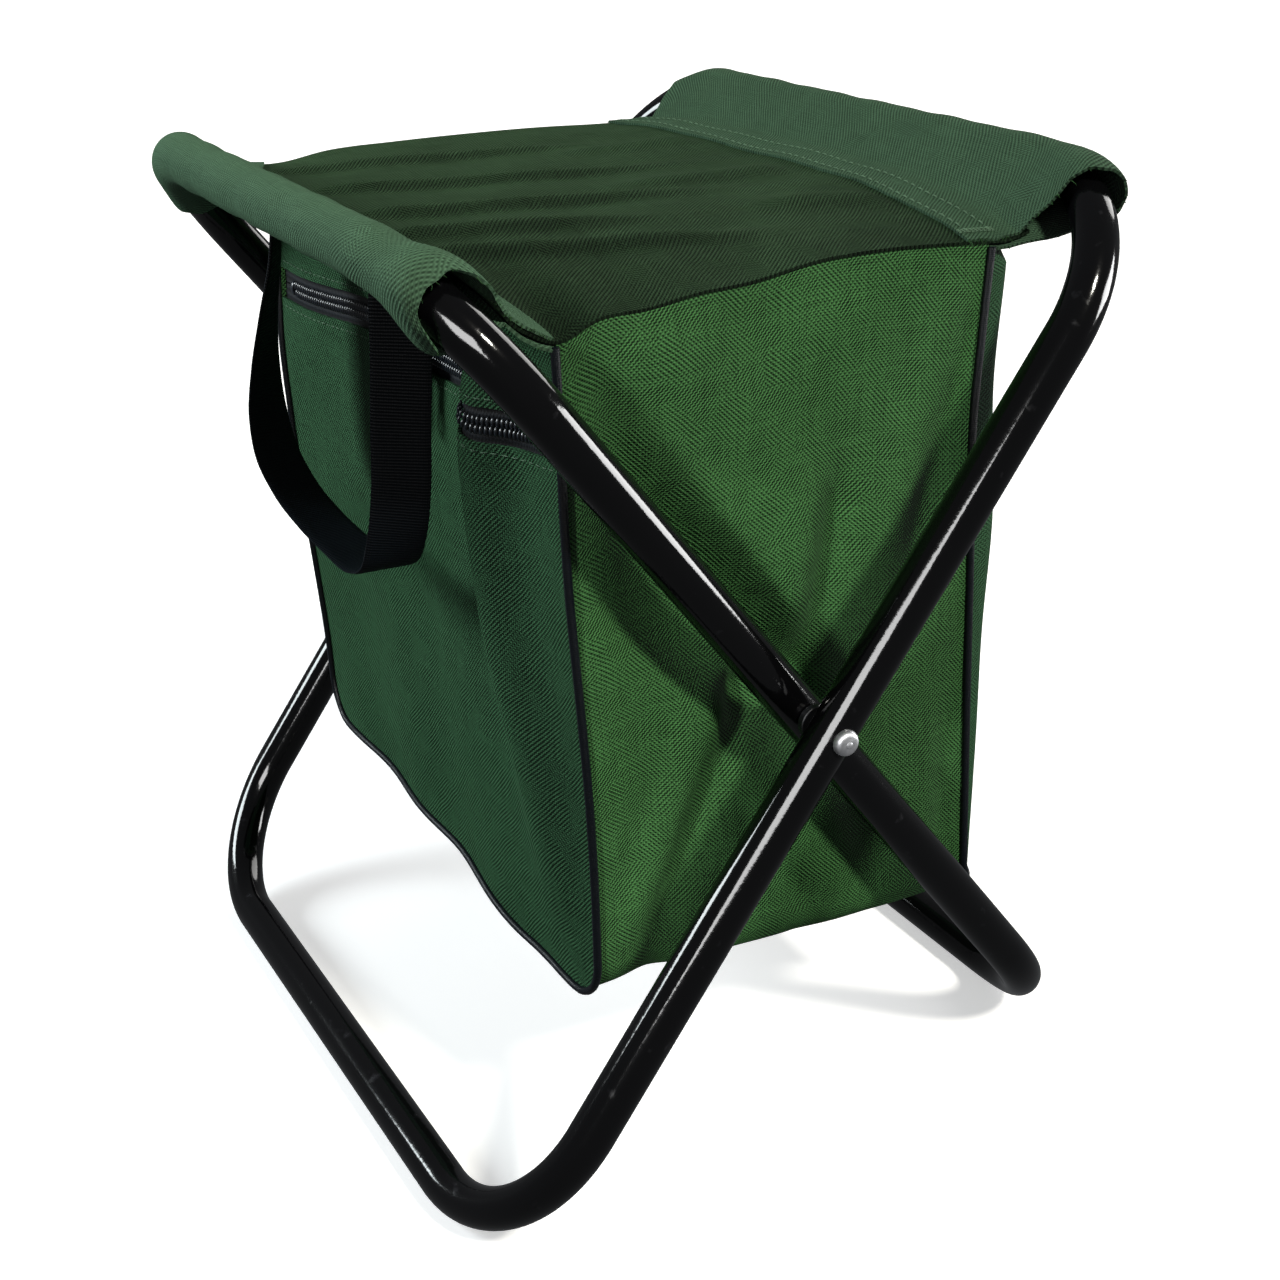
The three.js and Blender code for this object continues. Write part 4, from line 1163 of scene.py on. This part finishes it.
def side_out(y, z, folds, seed, groove):
    """How far a side of the bag stands out of its plane: a slack belly, waves, folds and, by the share
    groove, the hollow along the inner leg."""
    inside = (1 - np.clip((y - 4.0) / 80.0, -1, 1) ** 4) * ease((322.0 - z) / 24.0)
    tall = np.clip((z - 80.0) / 240.0, 0.0, 1.0)
    out = SIDE_BELLY * np.sin(np.pi * tall) + ripple(y, z, seed, *SIDE_RIPPLE)
    for fold in folds:
        out = out - crease(y, z, *fold)
    return (out - groove * leg_groove(y, z)) * inside


def zip_z(x):
    """Height of the zip at x, moved with the zip height."""
    return curve_through(x, ZIP_LINE) + mm("zip_height") - ZIP_BASE


def window_low(x):
    return zip_z(x) - mm("zip_window") / 2


def window_high(x):
    return zip_z(x) + mm("zip_window") / 2


def flap_top(x):
    """Upper edge of the flap, just under the seat."""
    return seat_height(x, FLAP_TOP) - UNDER_SEAT


def back_top(x):
    """Upper edge of the back panel, just under the seat."""
    return seat_height(x, BACK_PANEL_TOP) - UNDER_SEAT


def half_at(h):
    """Half width of an end panel at a height above its bottom: a quarter circle at each lower corner."""
    r = mm("corner")
    below = np.clip(r - h, 0.0, r)
    return mm("bag_half") - r + np.sqrt(r * r - below * below)


def panel_points(depth, x, h, top):
    """Points of an end panel at the height h of its layout: true to size below, and stretched above so
    that its full height reaches the top."""
    low = bag_floor(x, depth(x, FOOT_Z))
    z = low + (h + (top - low - PANEL_TALL) * (h / PANEL_TALL) ** 2)
    return xyz(x, depth(x, z), z)


def end_grid(depth, top, cols=121, rows=96):
    """End panel: rows from the bottom up, denser below, as wide as the rounded outline is there."""
    h = PANEL_TALL * np.linspace(0.0, 1.0, rows)[:, None] ** PANEL_DENSE
    x = np.linspace(-1.0, 1.0, cols) * half_at(h)
    return panel_points(depth, x, h, top(x))


def band_grid(depth, low, high, cols, rows, half):
    """Band across an end panel between two heights."""
    x = np.linspace(-1.0, 1.0, cols) * half
    z = low(x) + (high(x) - low(x)) * np.linspace(0.0, 1.0, rows)[:, None]
    return xyz(x, depth(x, z), z)


def panel_uv(grid):
    """Threads of the front panel and the flap run level and upright."""
    return np.stack([grid[..., 0], grid[..., 2]], -1)


def between(x, z, v):
    """Places in y at the bag's bottom, from the front panel at v = 0 to the back panel at v = 1."""
    return front_y(x, z) * (1 - v) + back_y(x, z) * v


def gusset_grid(rows=(104, 11, 66), cols=77):
    """Gusset: down the right side, round the corner, along the bottom and up the left side, each line
    running from the back panel to the front panel."""
    tall, bend, level = rows
    r, half = mm("corner"), mm("bag_half")
    v = np.linspace(1.0, 0.0, cols)
    down = np.linspace(0.0, 1.0, tall)[:, None]
    rough = np.linspace(*GUSSET_HEIGHTS, tall)[:, None]
    turn = np.linspace(0.0, np.pi / 2, bend + 2)[1:-1, None]
    sides = []
    for side, seam, folds, seed, front, groove in (
        (1, SEAT_RIGHT, RIGHT_FOLDS, 31, EDGE_RIGHT, 1.0),
        (-1, SEAT_LEFT, LEFT_FOLDS, 37, EDGE_LEFT, 0.5),
    ):
        y = curve_through(rough, front) * (1 - v) + curve_through(rough, BACK_EDGE) * v
        top = curve_through(y[0], seam) - SEAM_DROP
        low = bag_floor(side * half, y[-1]) + r
        z = top + (low - top) * down
        x = side * (half - SIDE_IN + side_out(y, z, folds, seed, groove))
        corner_x = side * (half - r + (x[-1] * side - (half - r)) * np.cos(turn))
        corner_z = low - r * np.sin(turn)
        corner = xyz(corner_x, between(corner_x, corner_z, v), corner_z)
        sides.append(np.concatenate([xyz(x, y, z), corner]))
    right, left = sides
    s = np.linspace(1.0, -1.0, level)[:, None]
    x = s * (half - r) * np.ones_like(v)
    y = between(x, bag_floor(x, BAG_DEPTH * v + FLOOR_FRONT), v)
    waves = ripple(x, y, *FLOOR_RIPPLE) * (1 - s**6) * (1 - (2 * v - 1) ** 6)
    bottom = xyz(x, y, bag_floor(x, y) + waves)
    return np.concatenate([right, bottom, left[::-1]])


class STOOL_OT_bag(bpy.types.Operator):
    """Cloth of the bag: gusset, front below and above the zip, and back"""

    bl_idname = "stool.bag"
    bl_label = "Bag cloth"

    def execute(self, context):
        cloth = mm("cloth")
        grid = gusset_grid()
        uv = thread_uv(grid)
        split = grid.shape[1] // 2
        sides = ["side_panel_right", "side_panel_left", "bottom_panel"]
        lit = bpy.data.collections.new("lit_by_front_window")
        bpy.data.objects["front_window"].light_linking.receiver_collection = lit
        for end, cols, nodes in (("front", slice(split, None), sides), ("back", slice(None, split + 1), [])):
            shape = shell(grid[:, cols], cloth, uv[:, cols])
            gusset = put("gusset_" + end, shape, "bag_cloth", None, nodes)
            bent(gusset, end + "_end")
            lit.objects.link(gusset)
            "seat_" + end
        front = end_grid(front_y, window_low)
        flap = band_grid(front_y, window_high, flap_top, *FLAP_GRID, mm("bag_half"))
        back = end_grid(back_y, back_top)[:, ::-1]
        for name, panel, uv, body, node, rest, size in (
            ("front_cloth", front, panel_uv(front), "front_end", "front_panel", "flap_cloth",
             {"flat": (0.256, 0.196)}),
            ("flap_cloth", flap, panel_uv(flap), "front_end", "front_flap", "seat_front",
             {"flat": (0.256, 0.040), "area": 0.0088}),
            ("back_cloth", back, None, "back_end", "back_panel", "seat_back",
             {"flat": (0.252, 0.250)}),
        ):
            piece = put(name, shell(panel, cloth, uv), "panel_cloth", body, [node])
        return {"FINISHED"}


# The cord stands this far outside the panel's edge and in front of its face
CORD_OUT = 0.9


def edge_path(depth, top, out):
    """Outline of an end panel: down the right side, round the lower corners and up the left side."""
    half = mm("bag_half")
    h = PANEL_TALL * np.linspace(1.0, 0.0, 120) ** PANEL_DENSE
    right, left = (panel_points(depth, side * half_at(h), h, top(side * half)) for side in (1.0, -1.0))
    x = np.linspace(right[-1, 0], left[-1, 0], 92)[1:-1]
    z = bag_floor(x, depth(x, FOOT_Z))
    path = np.concatenate([right, xyz(x, depth(x, z), z), left[::-1]])
    away = (path - PANEL_TALL * EZ) * (EX + EZ)
    return path + unit(away) * CORD_OUT - EY * (out * CORD_OUT)


class STOOL_OT_piping(bpy.types.Operator):
    """Corded black edges of the two end panels"""

    bl_idname = "stool.piping"
    bl_label = "Piping"

    def execute(self, context):
        short = 0.01
        for end, depth, top, out in (("front", front_y, flap_top, 1), ("back", back_y, back_top, -1)):
            path = edge_path(depth, top, out)
            path = np.concatenate([path[:1], path[:1] + (path[1] - path[0]) * short, path[1:], path[-1:]])
            path[-2] = path[-1] + (path[-3] - path[-1]) * short
            cord = strands(path[None], mm("piping") / 2, EY, 10)
            put(end + "_edge_cord", cord, "piping_trim", end + "_end", [end + "_piping"])
        return {"FINISHED"}


# Zip


# Tapes: how far in they lie, their thickness, and their edges above and below the zip's line
TAPE_IN, TAPE_THICK, TAPE_EDGES = 1.5, 0.7, (0.25, 10.5)
# The tapes reach this far past the side of the bag, and the chain stops that far from it
TAPE_PAST, CHAIN_SHORT = 0.2, 17.0
# Middle of the zip behind the front of the bag
ZIP_BEHIND = 0.6
COIL_TAPER = np.array([0.0, 0.85, 1.0, 1.0, 1.0, 0.85, 0.0])
COIL_RADIUS, COIL_BACK, COIL_REACH, COIL_RISE, COIL_SLANT = 0.52, -0.3, 3.6, 1.15, 0.5
# A stop along the zip and its radius there
STOP_PLACE, STOP_RADIUS = np.array([-0.2, -0.1, 0.6, 1.6, 2.4, 2.6]), [0, 2.4, 2.9, 2.9, 2.4, 0]


def zip_face(x):
    """Middle of the zip at x: its place, and the directions along it, up and out of its face."""
    z = zip_z(x)
    at = xyz(x, front_y(x, z) + ZIP_BEHIND, z)
    along = unit(np.gradient(at, axis=0))
    up = unit(np.cross(along, -EY))
    up = np.where(up[:, 2:] < 0, -up, up)
    face = unit(np.cross(along, up))
    return at, along, up, np.where(face[:, 1:2] > 0, -face, face)


class STOOL_OT_zip(bpy.types.Operator):
    """Coil zip in the front of the bag: tapes, two rows of coil turns and end stops"""

    bl_idname = "stool.zip"
    bl_label = "Zip"

    def execute(self, context):
        half = mm("bag_half") + TAPE_PAST
        near, far = TAPE_EDGES
        for level, low, high in (("upper", near, far), ("lower", -far, -near)):
            edges = (lambda x: zip_z(x) + low, lambda x: zip_z(x) + high)
            band = band_grid(front_y, *edges, *TAPE_GRID, half)
            tape = shell(moved_in(band, TAPE_IN), TAPE_THICK)
            put("tape_" + level, tape, "zip_tape", "front_end", ["zip_tape_" + level])
        end = mm("bag_half") - CHAIN_SHORT
        lines = zip_face(np.linspace(-end, end, 1200))
        run = run_of(lines[0])
        pitch = mm("tooth_pitch")
        t = np.linspace(0.0, 1.0, len(COIL_TAPER))[None, :, None]
        rise = COIL_RISE * np.sin(np.pi * np.clip(t * 0.92 + 0.04, 0, 1)) ** 0.6
        rows = []
        for side, first in ((1.0, pitch), (-1.0, 1.5 * pitch)):
            s = np.arange(first, run[-1] - pitch, pitch)
            c, a, u, f = (straight_at(s, run, v)[:, None] for v in lines)
            reach = (COIL_BACK + COIL_REACH * t) * side
            slant = COIL_SLANT * (t - 0.5) * side
            paths = c + u * reach + f * rise + a * slant
            rows.append(strands(paths, COIL_RADIUS * COIL_TAPER, np.array([0.2, -1.0, 0.1]), 6))
        put("zip_coil", joined(*rows), "zip_nylon", "front_end", ["zip_chain"])
        for node, side in (("zip_stop_right", 1.0), ("zip_stop_left", -1.0)):
            path, _, _, face = zip_face(np.sort(side * (end + STOP_PLACE)))
            clip = strands((path + face * 0.5)[None], STOP_RADIUS, -EY, 14, 0.5)
            put(node + "_clip", clip, "zip_nylon", "front_end", [node])
        return {"FINISHED"}


class STOOL_OT_hardware(bpy.types.Operator):
    """Finishes of the solids that keep their own shape: two zip sliders and their pulls"""

    bl_idname = "stool.hardware"
    bl_label = "Zip sliders and pulls"

    def execute(self, context):
        for node in ("zip_slider_right", "zip_pull_right", "zip_slider_left", "zip_pull_left"):
            mesh = frame["nodes"][node].data
            mesh.materials.clear()
            mesh.materials.append(finish("zip_metal"))
        return {"FINISHED"}


# Handle


# Middle line of the webbing from the near end to the far end: x, y, z and the turn of its width
HANDLE_LINE = [
    (60.5, -99.5, 324, 61), (60.2, -100.1, 315.5, 63), (58.9, -100.6, 299, 63), (55.7, -101.5, 273, 63),
    (51.7, -101.7, 249.5, 64), (46.7, -102.4, 232.5, 68), (38.2, -102.9, 219, 79), (20.8, -103.1, 212, 93),
    (-2.1, -103.7, 212.2, 103), (-23.3, -105.6, 215.7, 108), (-41.7, -108.1, 223, 110),
    (-54.5, -110, 234.5, 112), (-60.2, -110.1, 249.3, 119), (-61.7, -108.5, 267.4, 131),
    (-60.7, -105.3, 288, 142), (-59, -101.7, 306, 149), (-58, -99.5, 324, 152),
]
HANDLE_STEPS, HANDLE_COLS = 150, 17
# Share of the thickness that is left at the webbing's two edges
SELVEDGE = 0.35


def handle_shape():
    """Webbing: a flat profile with rounded edges carried along the loop; its width turns from facing
    the right at one end to facing the front at the other."""
    s, line = along_knots(HANDLE_LINE, HANDLE_STEPS)
    path, turn = line[:, :3], np.radians(line[:, 3])
    along = unit(np.gradient(path, axis=0))
    wide = xyz(np.cos(turn), np.sin(turn), 0.0)
    wide = unit(wide - along * (wide * along).sum(-1, keepdims=True))
    face = np.cross(along, wide)
    side = np.linspace(-1.0, 1.0, HANDLE_COLS)
    bevel = np.sqrt(np.clip(1 - np.abs(side) ** 14, 0.0, 1.0))
    bevel[[0, -1]] = SELVEDGE
    across = np.concatenate([side, side[::-1]]) * (mm("webbing") / 2)
    height = np.concatenate([bevel, -bevel]) * (mm("webbing_t") / 2)
    ring = path[:, None] + wide[:, None] * across[:, None] + face[:, None] * height[:, None]
    girth = len(across)
    i = np.arange(HANDLE_COLS - 1)
    cap = np.stack([i, i + 1, girth - 2 - i, girth - 1 - i], -1)
    far_cap = cap[:, ::-1] + (len(s) - 1) * girth
    uv = np.stack(np.broadcast_arrays(across[None, :], s[:, None]), -1)
    faces = [grid_quads(len(s), girth, wrap_cols=True), cap, far_cap]
    return outward(ring.reshape(-1, 3), faces, uv.reshape(-1, 2))


class STOOL_OT_handle(bpy.types.Operator):
    """Webbing handle on the zip side, with its two sewn ends"""

    bl_idname = "stool.handle"
    bl_label = "Handle"

    def execute(self, context):
        put("handle_webbing", handle_shape(), "webbing", "handle", ["handle"])
        t = np.linspace(0.0, 1.0, 16)[:, None]
        for node in ("handle_end_right", "handle_end_left"):
            low, high = (np.array(corner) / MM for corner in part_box(node))
            x = np.linspace(low[0], high[0], 15)
            y = low[1] + (high[1] - low[1]) * t
            z = (low[2] + high[2]) / 2 + 0.5 * np.sin(np.pi * t)
            sewn = shell(xyz(x, y, z), mm("webbing_t"))
            put(node + "_webbing", sewn, "webbing", "front_end", [node])
        return {"FINISHED"}


# Stitching


# Rows of the back lap in y, their height over the seat, and their thread
LAP_ROWS, LAP_LIFT, LAP_THREAD = (79.5, 89.0), 1.9, 0.34
# Bar tack at the lap's right end: its ends in y, its rows from the side of the bag, and its stitches
TACK_ENDS, TACK_ROWS, TACK_LIFT = (76.0, 91.0), (0.0, -0.9, -1.8), 1.75
TACK_STITCH, TACK_GAP, TACK_THREAD = 1.4, 0.2, 0.4
# Rows of the zip: away from the window's edges, in front of the cloth, and their thread
ZIP_ROW, ZIP_ROW_OUT, ZIP_THREAD = 3.0, 0.55, 0.28


class STOOL_OT_stitching(bpy.types.Operator):
    """Seam stitches of the back lap and the zip"""

    bl_idname = "stool.stitching"
    bl_label = "Stitching"

    def execute(self, context):
        span, gap, half = mm("stitch"), mm("stitch_gap"), mm("bag_half")
        x = np.linspace(-1.0, 1.0, 260) * (half - 2.5)
        rows = []
        for place in LAP_ROWS:
            y = place - LAP_BOW * (x / half) ** 2 + 0.35 * np.sin(x / 19.0)
            rows.append(dashes(on_seat(x, y, LAP_LIFT), EZ, span, gap, LAP_THREAD))
        y = np.linspace(*TACK_ENDS, 40) - 2.4
        for shift in TACK_ROWS:
            tack = on_seat(half - 3.2 + shift, y, TACK_LIFT)
            rows.append(dashes(tack, EZ, TACK_STITCH, TACK_GAP, TACK_THREAD))
        lap = put("back_lap_stitches", joined(*rows), "pale_thread", None)
        bent(lap, "back_rail")
        x = np.linspace(-1.0, 1.0, 400) * (half - 5.0)
        rows = []
        for edge, step in ((window_high, ZIP_ROW), (window_low, -ZIP_ROW)):
            z = edge(x) + step + 0.3 * np.sin(x / 23.0)
            path = xyz(x, front_y(x, z) - ZIP_ROW_OUT, z)
            rows.append(dashes(path, -EY, span, gap, ZIP_THREAD))
        put("zip_stitches", joined(*rows), "pale_thread", "front_end")
        return {"FINISHED"}


# Lining


FOAM_THICK, FILM_THICK, FOAM_SHARE = 2.6, 0.6, 0.3
# The front sheet ends this far under the zip, the back sheet that far under the panel's top
ZIP_CLEAR, TOP_CLEAR = 12.0, 9.0
# Sheet under the seat: its ends in y, and how far it stays inside the bag's half width
ROOF_ENDS, ROOF_IN = (-72.0, 79.0), 4.0
# Lining sheets are this much narrower than the cloth, and the wrap that much less deep
SHEET_NARROW, WRAP_SHALLOW = np.array([0.94, 1.0, 1.0]), np.array([1.0, 0.93, 1.0])


class STOOL_OT_lining(bpy.types.Operator):
    """Foam sheets and the silver-grey film inside the bag"""

    bl_idname = "stool.lining"
    bl_label = "Lining"

    def execute(self, context):
        wrap = gusset_grid((30, 6, 24), 26) * WRAP_SHALLOW
        front = end_grid(front_y, lambda x: zip_z(x) - ZIP_CLEAR, *LINING_GRID) * SHEET_NARROW
        back = end_grid(back_y, lambda x: back_top(x) - TOP_CLEAR, *LINING_GRID)[:, ::-1] * SHEET_NARROW
        cols, rows = LINING_GRID
        x = np.linspace(-1.0, 1.0, cols) * (mm("bag_half") - ROOF_IN)
        roof = on_seat(x, np.linspace(*ROOF_ENDS, rows)[:, None], 0.0)[::-1] * SHEET_NARROW
        for name, grid, nodes, follow, foam_in, film_in, flat in (
            ("wrap", wrap, ("right", "left", "bottom"), None, 3.2, 5.6, (0.150, 0.700)),
            ("front", front, ("front",), "front_end", 4.0, 6.6, (0.233, 0.190)),
            ("back", back, ("back",), "back_end", 3.0, 5.4, (0.233, 0.245)),
            ("seat", roof, ("seat",), None, -7.0, -9.4, (0.226, 0.152)),
        ):
            for kind, look, depth, thick in (
                ("foam", "foam", foam_in, FOAM_THICK),
                ("liner", "liner_film", film_in, FILM_THICK),
            ):
                sheet = shell(moved_in(grid, depth), thick)
                hidden = [f"{kind}_{node}" for node in nodes]
                piece = put(f"{kind}_{name}_sheet", sheet, look, follow or "bag", hidden)
                if not follow:
                    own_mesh(piece)
                kind == "foam"
        return {"FINISHED"}


# Stage


CAMERA_AT = (0.625508, -0.319649, 0.466233)
CAMERA_RIGHT = (0.48200658, 0.87576639, -0.02651185)
CAMERA_DOWN = (0.34822103, -0.21924576, -0.91141287)
CAMERA_AHEAD = (-0.80399737, 0.43007502, -0.41063817)
CAMERA_LENS, CAMERA_SENSOR = 54.13, 36.0
SKY_COLOUR, SKY_STRENGTH = (0.93, 0.96, 1.0, 1.0), 0.11
# Distant lights: name, direction of travel, strength, spread in degrees and colour
SUNS = [
    ("side_window", (-0.69, -0.17, -0.70), 2.8, 7.0, (1.0, 0.97, 0.88)),
    ("front_window", (-0.45, 0.85, -0.27), 2.2, 6.0, (1.0, 1.0, 0.96)),
    ("back_window", (0.30, -0.85, -0.43), 1.0, 30.0, (1.0, 0.99, 0.97)),
]
# Soft boxes: name, place and aim in metres, width and height, power, colour and whether cloth sees it
BOXES = [
    ("left_box", (-0.95, -1.25, 0.86), (0.0, -0.08, 0.20), (0.6, 0.6), 25.0, (0.90, 0.98, 1.0), True),
    ("back_strip", (0.70, 1.41, 0.35), (0.14, -0.03, 0.22), (0.7, 0.5), 19.0, (1.0, 1.0, 1.0), False),
    ("front_strip", (1.04, -0.94, 0.78), (0.14, -0.03, 0.22), (0.7, 0.5), 19.0, (1.0, 1.0, 1.0), False),
]
# Studio floor: radius of its flat, radius of its bend, height of its wall, depth under the feet, sides
FLOOR_FLAT, FLOOR_BEND, FLOOR_WALL, FLOOR_DROP, FLOOR_SIDES = 3200.0, 1500.0, 5000.0, 0.2, 96


def sweep_shape():
    """Studio floor: a flat disc that turns up all round in a quarter circle and ends in an upright wall."""
    turn = np.linspace(0.0, math.pi / 2, 25)
    edge = FLOOR_FLAT + FLOOR_BEND
    r = np.concatenate([[800.0, 2000.0], FLOOR_FLAT + FLOOR_BEND * np.sin(turn), [edge]])
    z = np.concatenate([[0.0, 0.0], FLOOR_BEND * (1 - np.cos(turn)), [FLOOR_WALL]]) - FLOOR_DROP
    t = around(FLOOR_SIDES)
    ring = xyz(np.outer(r, np.cos(t)), np.outer(r, np.sin(t)), z[:, None])
    points = np.concatenate([ring.reshape(-1, 3), [-FLOOR_DROP * EZ]])
    i = np.arange(FLOOR_SIDES)
    middle = np.stack([np.full(FLOOR_SIDES, len(points) - 1), i, (i + 1) % FLOOR_SIDES], -1)
    return points, [grid_quads(len(r), FLOOR_SIDES, wrap_cols=True)[:, ::-1], middle], None


def lamp(name, kind, power, tone, travel):
    """A lamp that shines along a direction."""
    light = bpy.data.lights.new(name, kind)
    light.energy = power
    light.color = tone
    obj = bpy.data.objects.new(name, light)
    obj.rotation_euler = travel.to_track_quat("-Z", "Y").to_euler()
    bpy.context.scene.collection.objects.link(obj)
    return obj


class STOOL_OT_stage(bpy.types.Operator):
    """Pale floor, soft boxes and the camera"""

    bl_idname = "stool.stage"
    bl_label = "Stage"

    def execute(self, context):
        scene = context.scene
        floor = put("floor", sweep_shape(), "studio_floor")
        floor.visible_shadow = False
        floor.visible_diffuse = False
        floor.visible_glossy = False
        world = bpy.data.worlds.new("studio")
        scene.world = world
        world.use_nodes = True
        sky = world.node_tree.nodes["Background"]
        sky.inputs["Color"].default_value = SKY_COLOUR
        sky.inputs["Strength"].default_value = SKY_STRENGTH
        for name, travel, strength, spread, tone in SUNS:
            sun = lamp(name, "SUN", strength, tone, Vector(travel))
            sun.data.angle = math.radians(spread)
        for name, place, aim, (wide, tall), power, tone, on_cloth in BOXES:
            box = lamp(name, "AREA", power, tone, Vector(aim) - Vector(place))
            box.data.shape = "RECTANGLE"
            box.data.size, box.data.size_y = wide, tall
            box.location = place
            box.visible_camera = False
            box.visible_diffuse = on_cloth
        lens = bpy.data.cameras.new("photo_view")
        lens.lens = CAMERA_LENS
        lens.sensor_width = CAMERA_SENSOR
        lens.clip_start, lens.clip_end = 0.01, 100.0
        camera = bpy.data.objects.new("photo_view", lens)
        right, up, back = Vector(CAMERA_RIGHT), -Vector(CAMERA_DOWN), -Vector(CAMERA_AHEAD)
        turn = Matrix((right, up, back)).transposed().to_4x4()
        camera.matrix_world = Matrix.Translation(Vector(CAMERA_AT)) @ turn
        scene.collection.objects.link(camera)
        scene.camera = camera
        scene.view_settings.view_transform = "Standard"
        return {"FINISHED"}


OPERATORS = (
    STOOL_OT_stage,
    STOOL_OT_frame,
    STOOL_OT_pivots,
    STOOL_OT_seat,
    STOOL_OT_sleeves,
    STOOL_OT_bag,
    STOOL_OT_piping,
    STOOL_OT_zip,
    STOOL_OT_hardware,
    STOOL_OT_handle,
    STOOL_OT_stitching,
    STOOL_OT_lining,
)


class STOOL_PT_panel(bpy.types.Panel):
    """Lists the pieces, sizes and colours of the stool"""

    bl_idname = "STOOL_PT_panel"
    bl_label = "Folding cooler stool"
    bl_space_type = "VIEW_3D"
    bl_region_type = "UI"
    bl_category = "Stool"

    def draw(self, context):
        for operator in OPERATORS:
            self.layout.operator(operator.bl_idname)
        for group in (context.scene.stool_sizes, context.scene.stool_colours):
            for name in group.__annotations__:
                self.layout.prop(group, name)


CLASSES = (StoolSizes, StoolColours, *OPERATORS, STOOL_PT_panel)


def register():
    for cls in CLASSES:
        bpy.utils.register_class(cls)
    bpy.types.Scene.stool_sizes = bpy.props.PointerProperty(type=StoolSizes)
    bpy.types.Scene.stool_colours = bpy.props.PointerProperty(type=StoolColours)


def unregister():
    del bpy.types.Scene.stool_colours
    del bpy.types.Scene.stool_sizes
    for cls in reversed(CLASSES):
        bpy.utils.unregister_class(cls)


def main():
    register()
    bpy.ops.stool.stage()
    bpy.ops.stool.frame()
    bpy.ops.stool.pivots()
    bpy.ops.stool.seat()
    bpy.ops.stool.sleeves()
    bpy.ops.stool.bag()
    bpy.ops.stool.piping()
    bpy.ops.stool.zip()
    bpy.ops.stool.hardware()
    bpy.ops.stool.handle()
    bpy.ops.stool.stitching()
    bpy.ops.stool.lining()


if __name__ == "__main__":
    main()
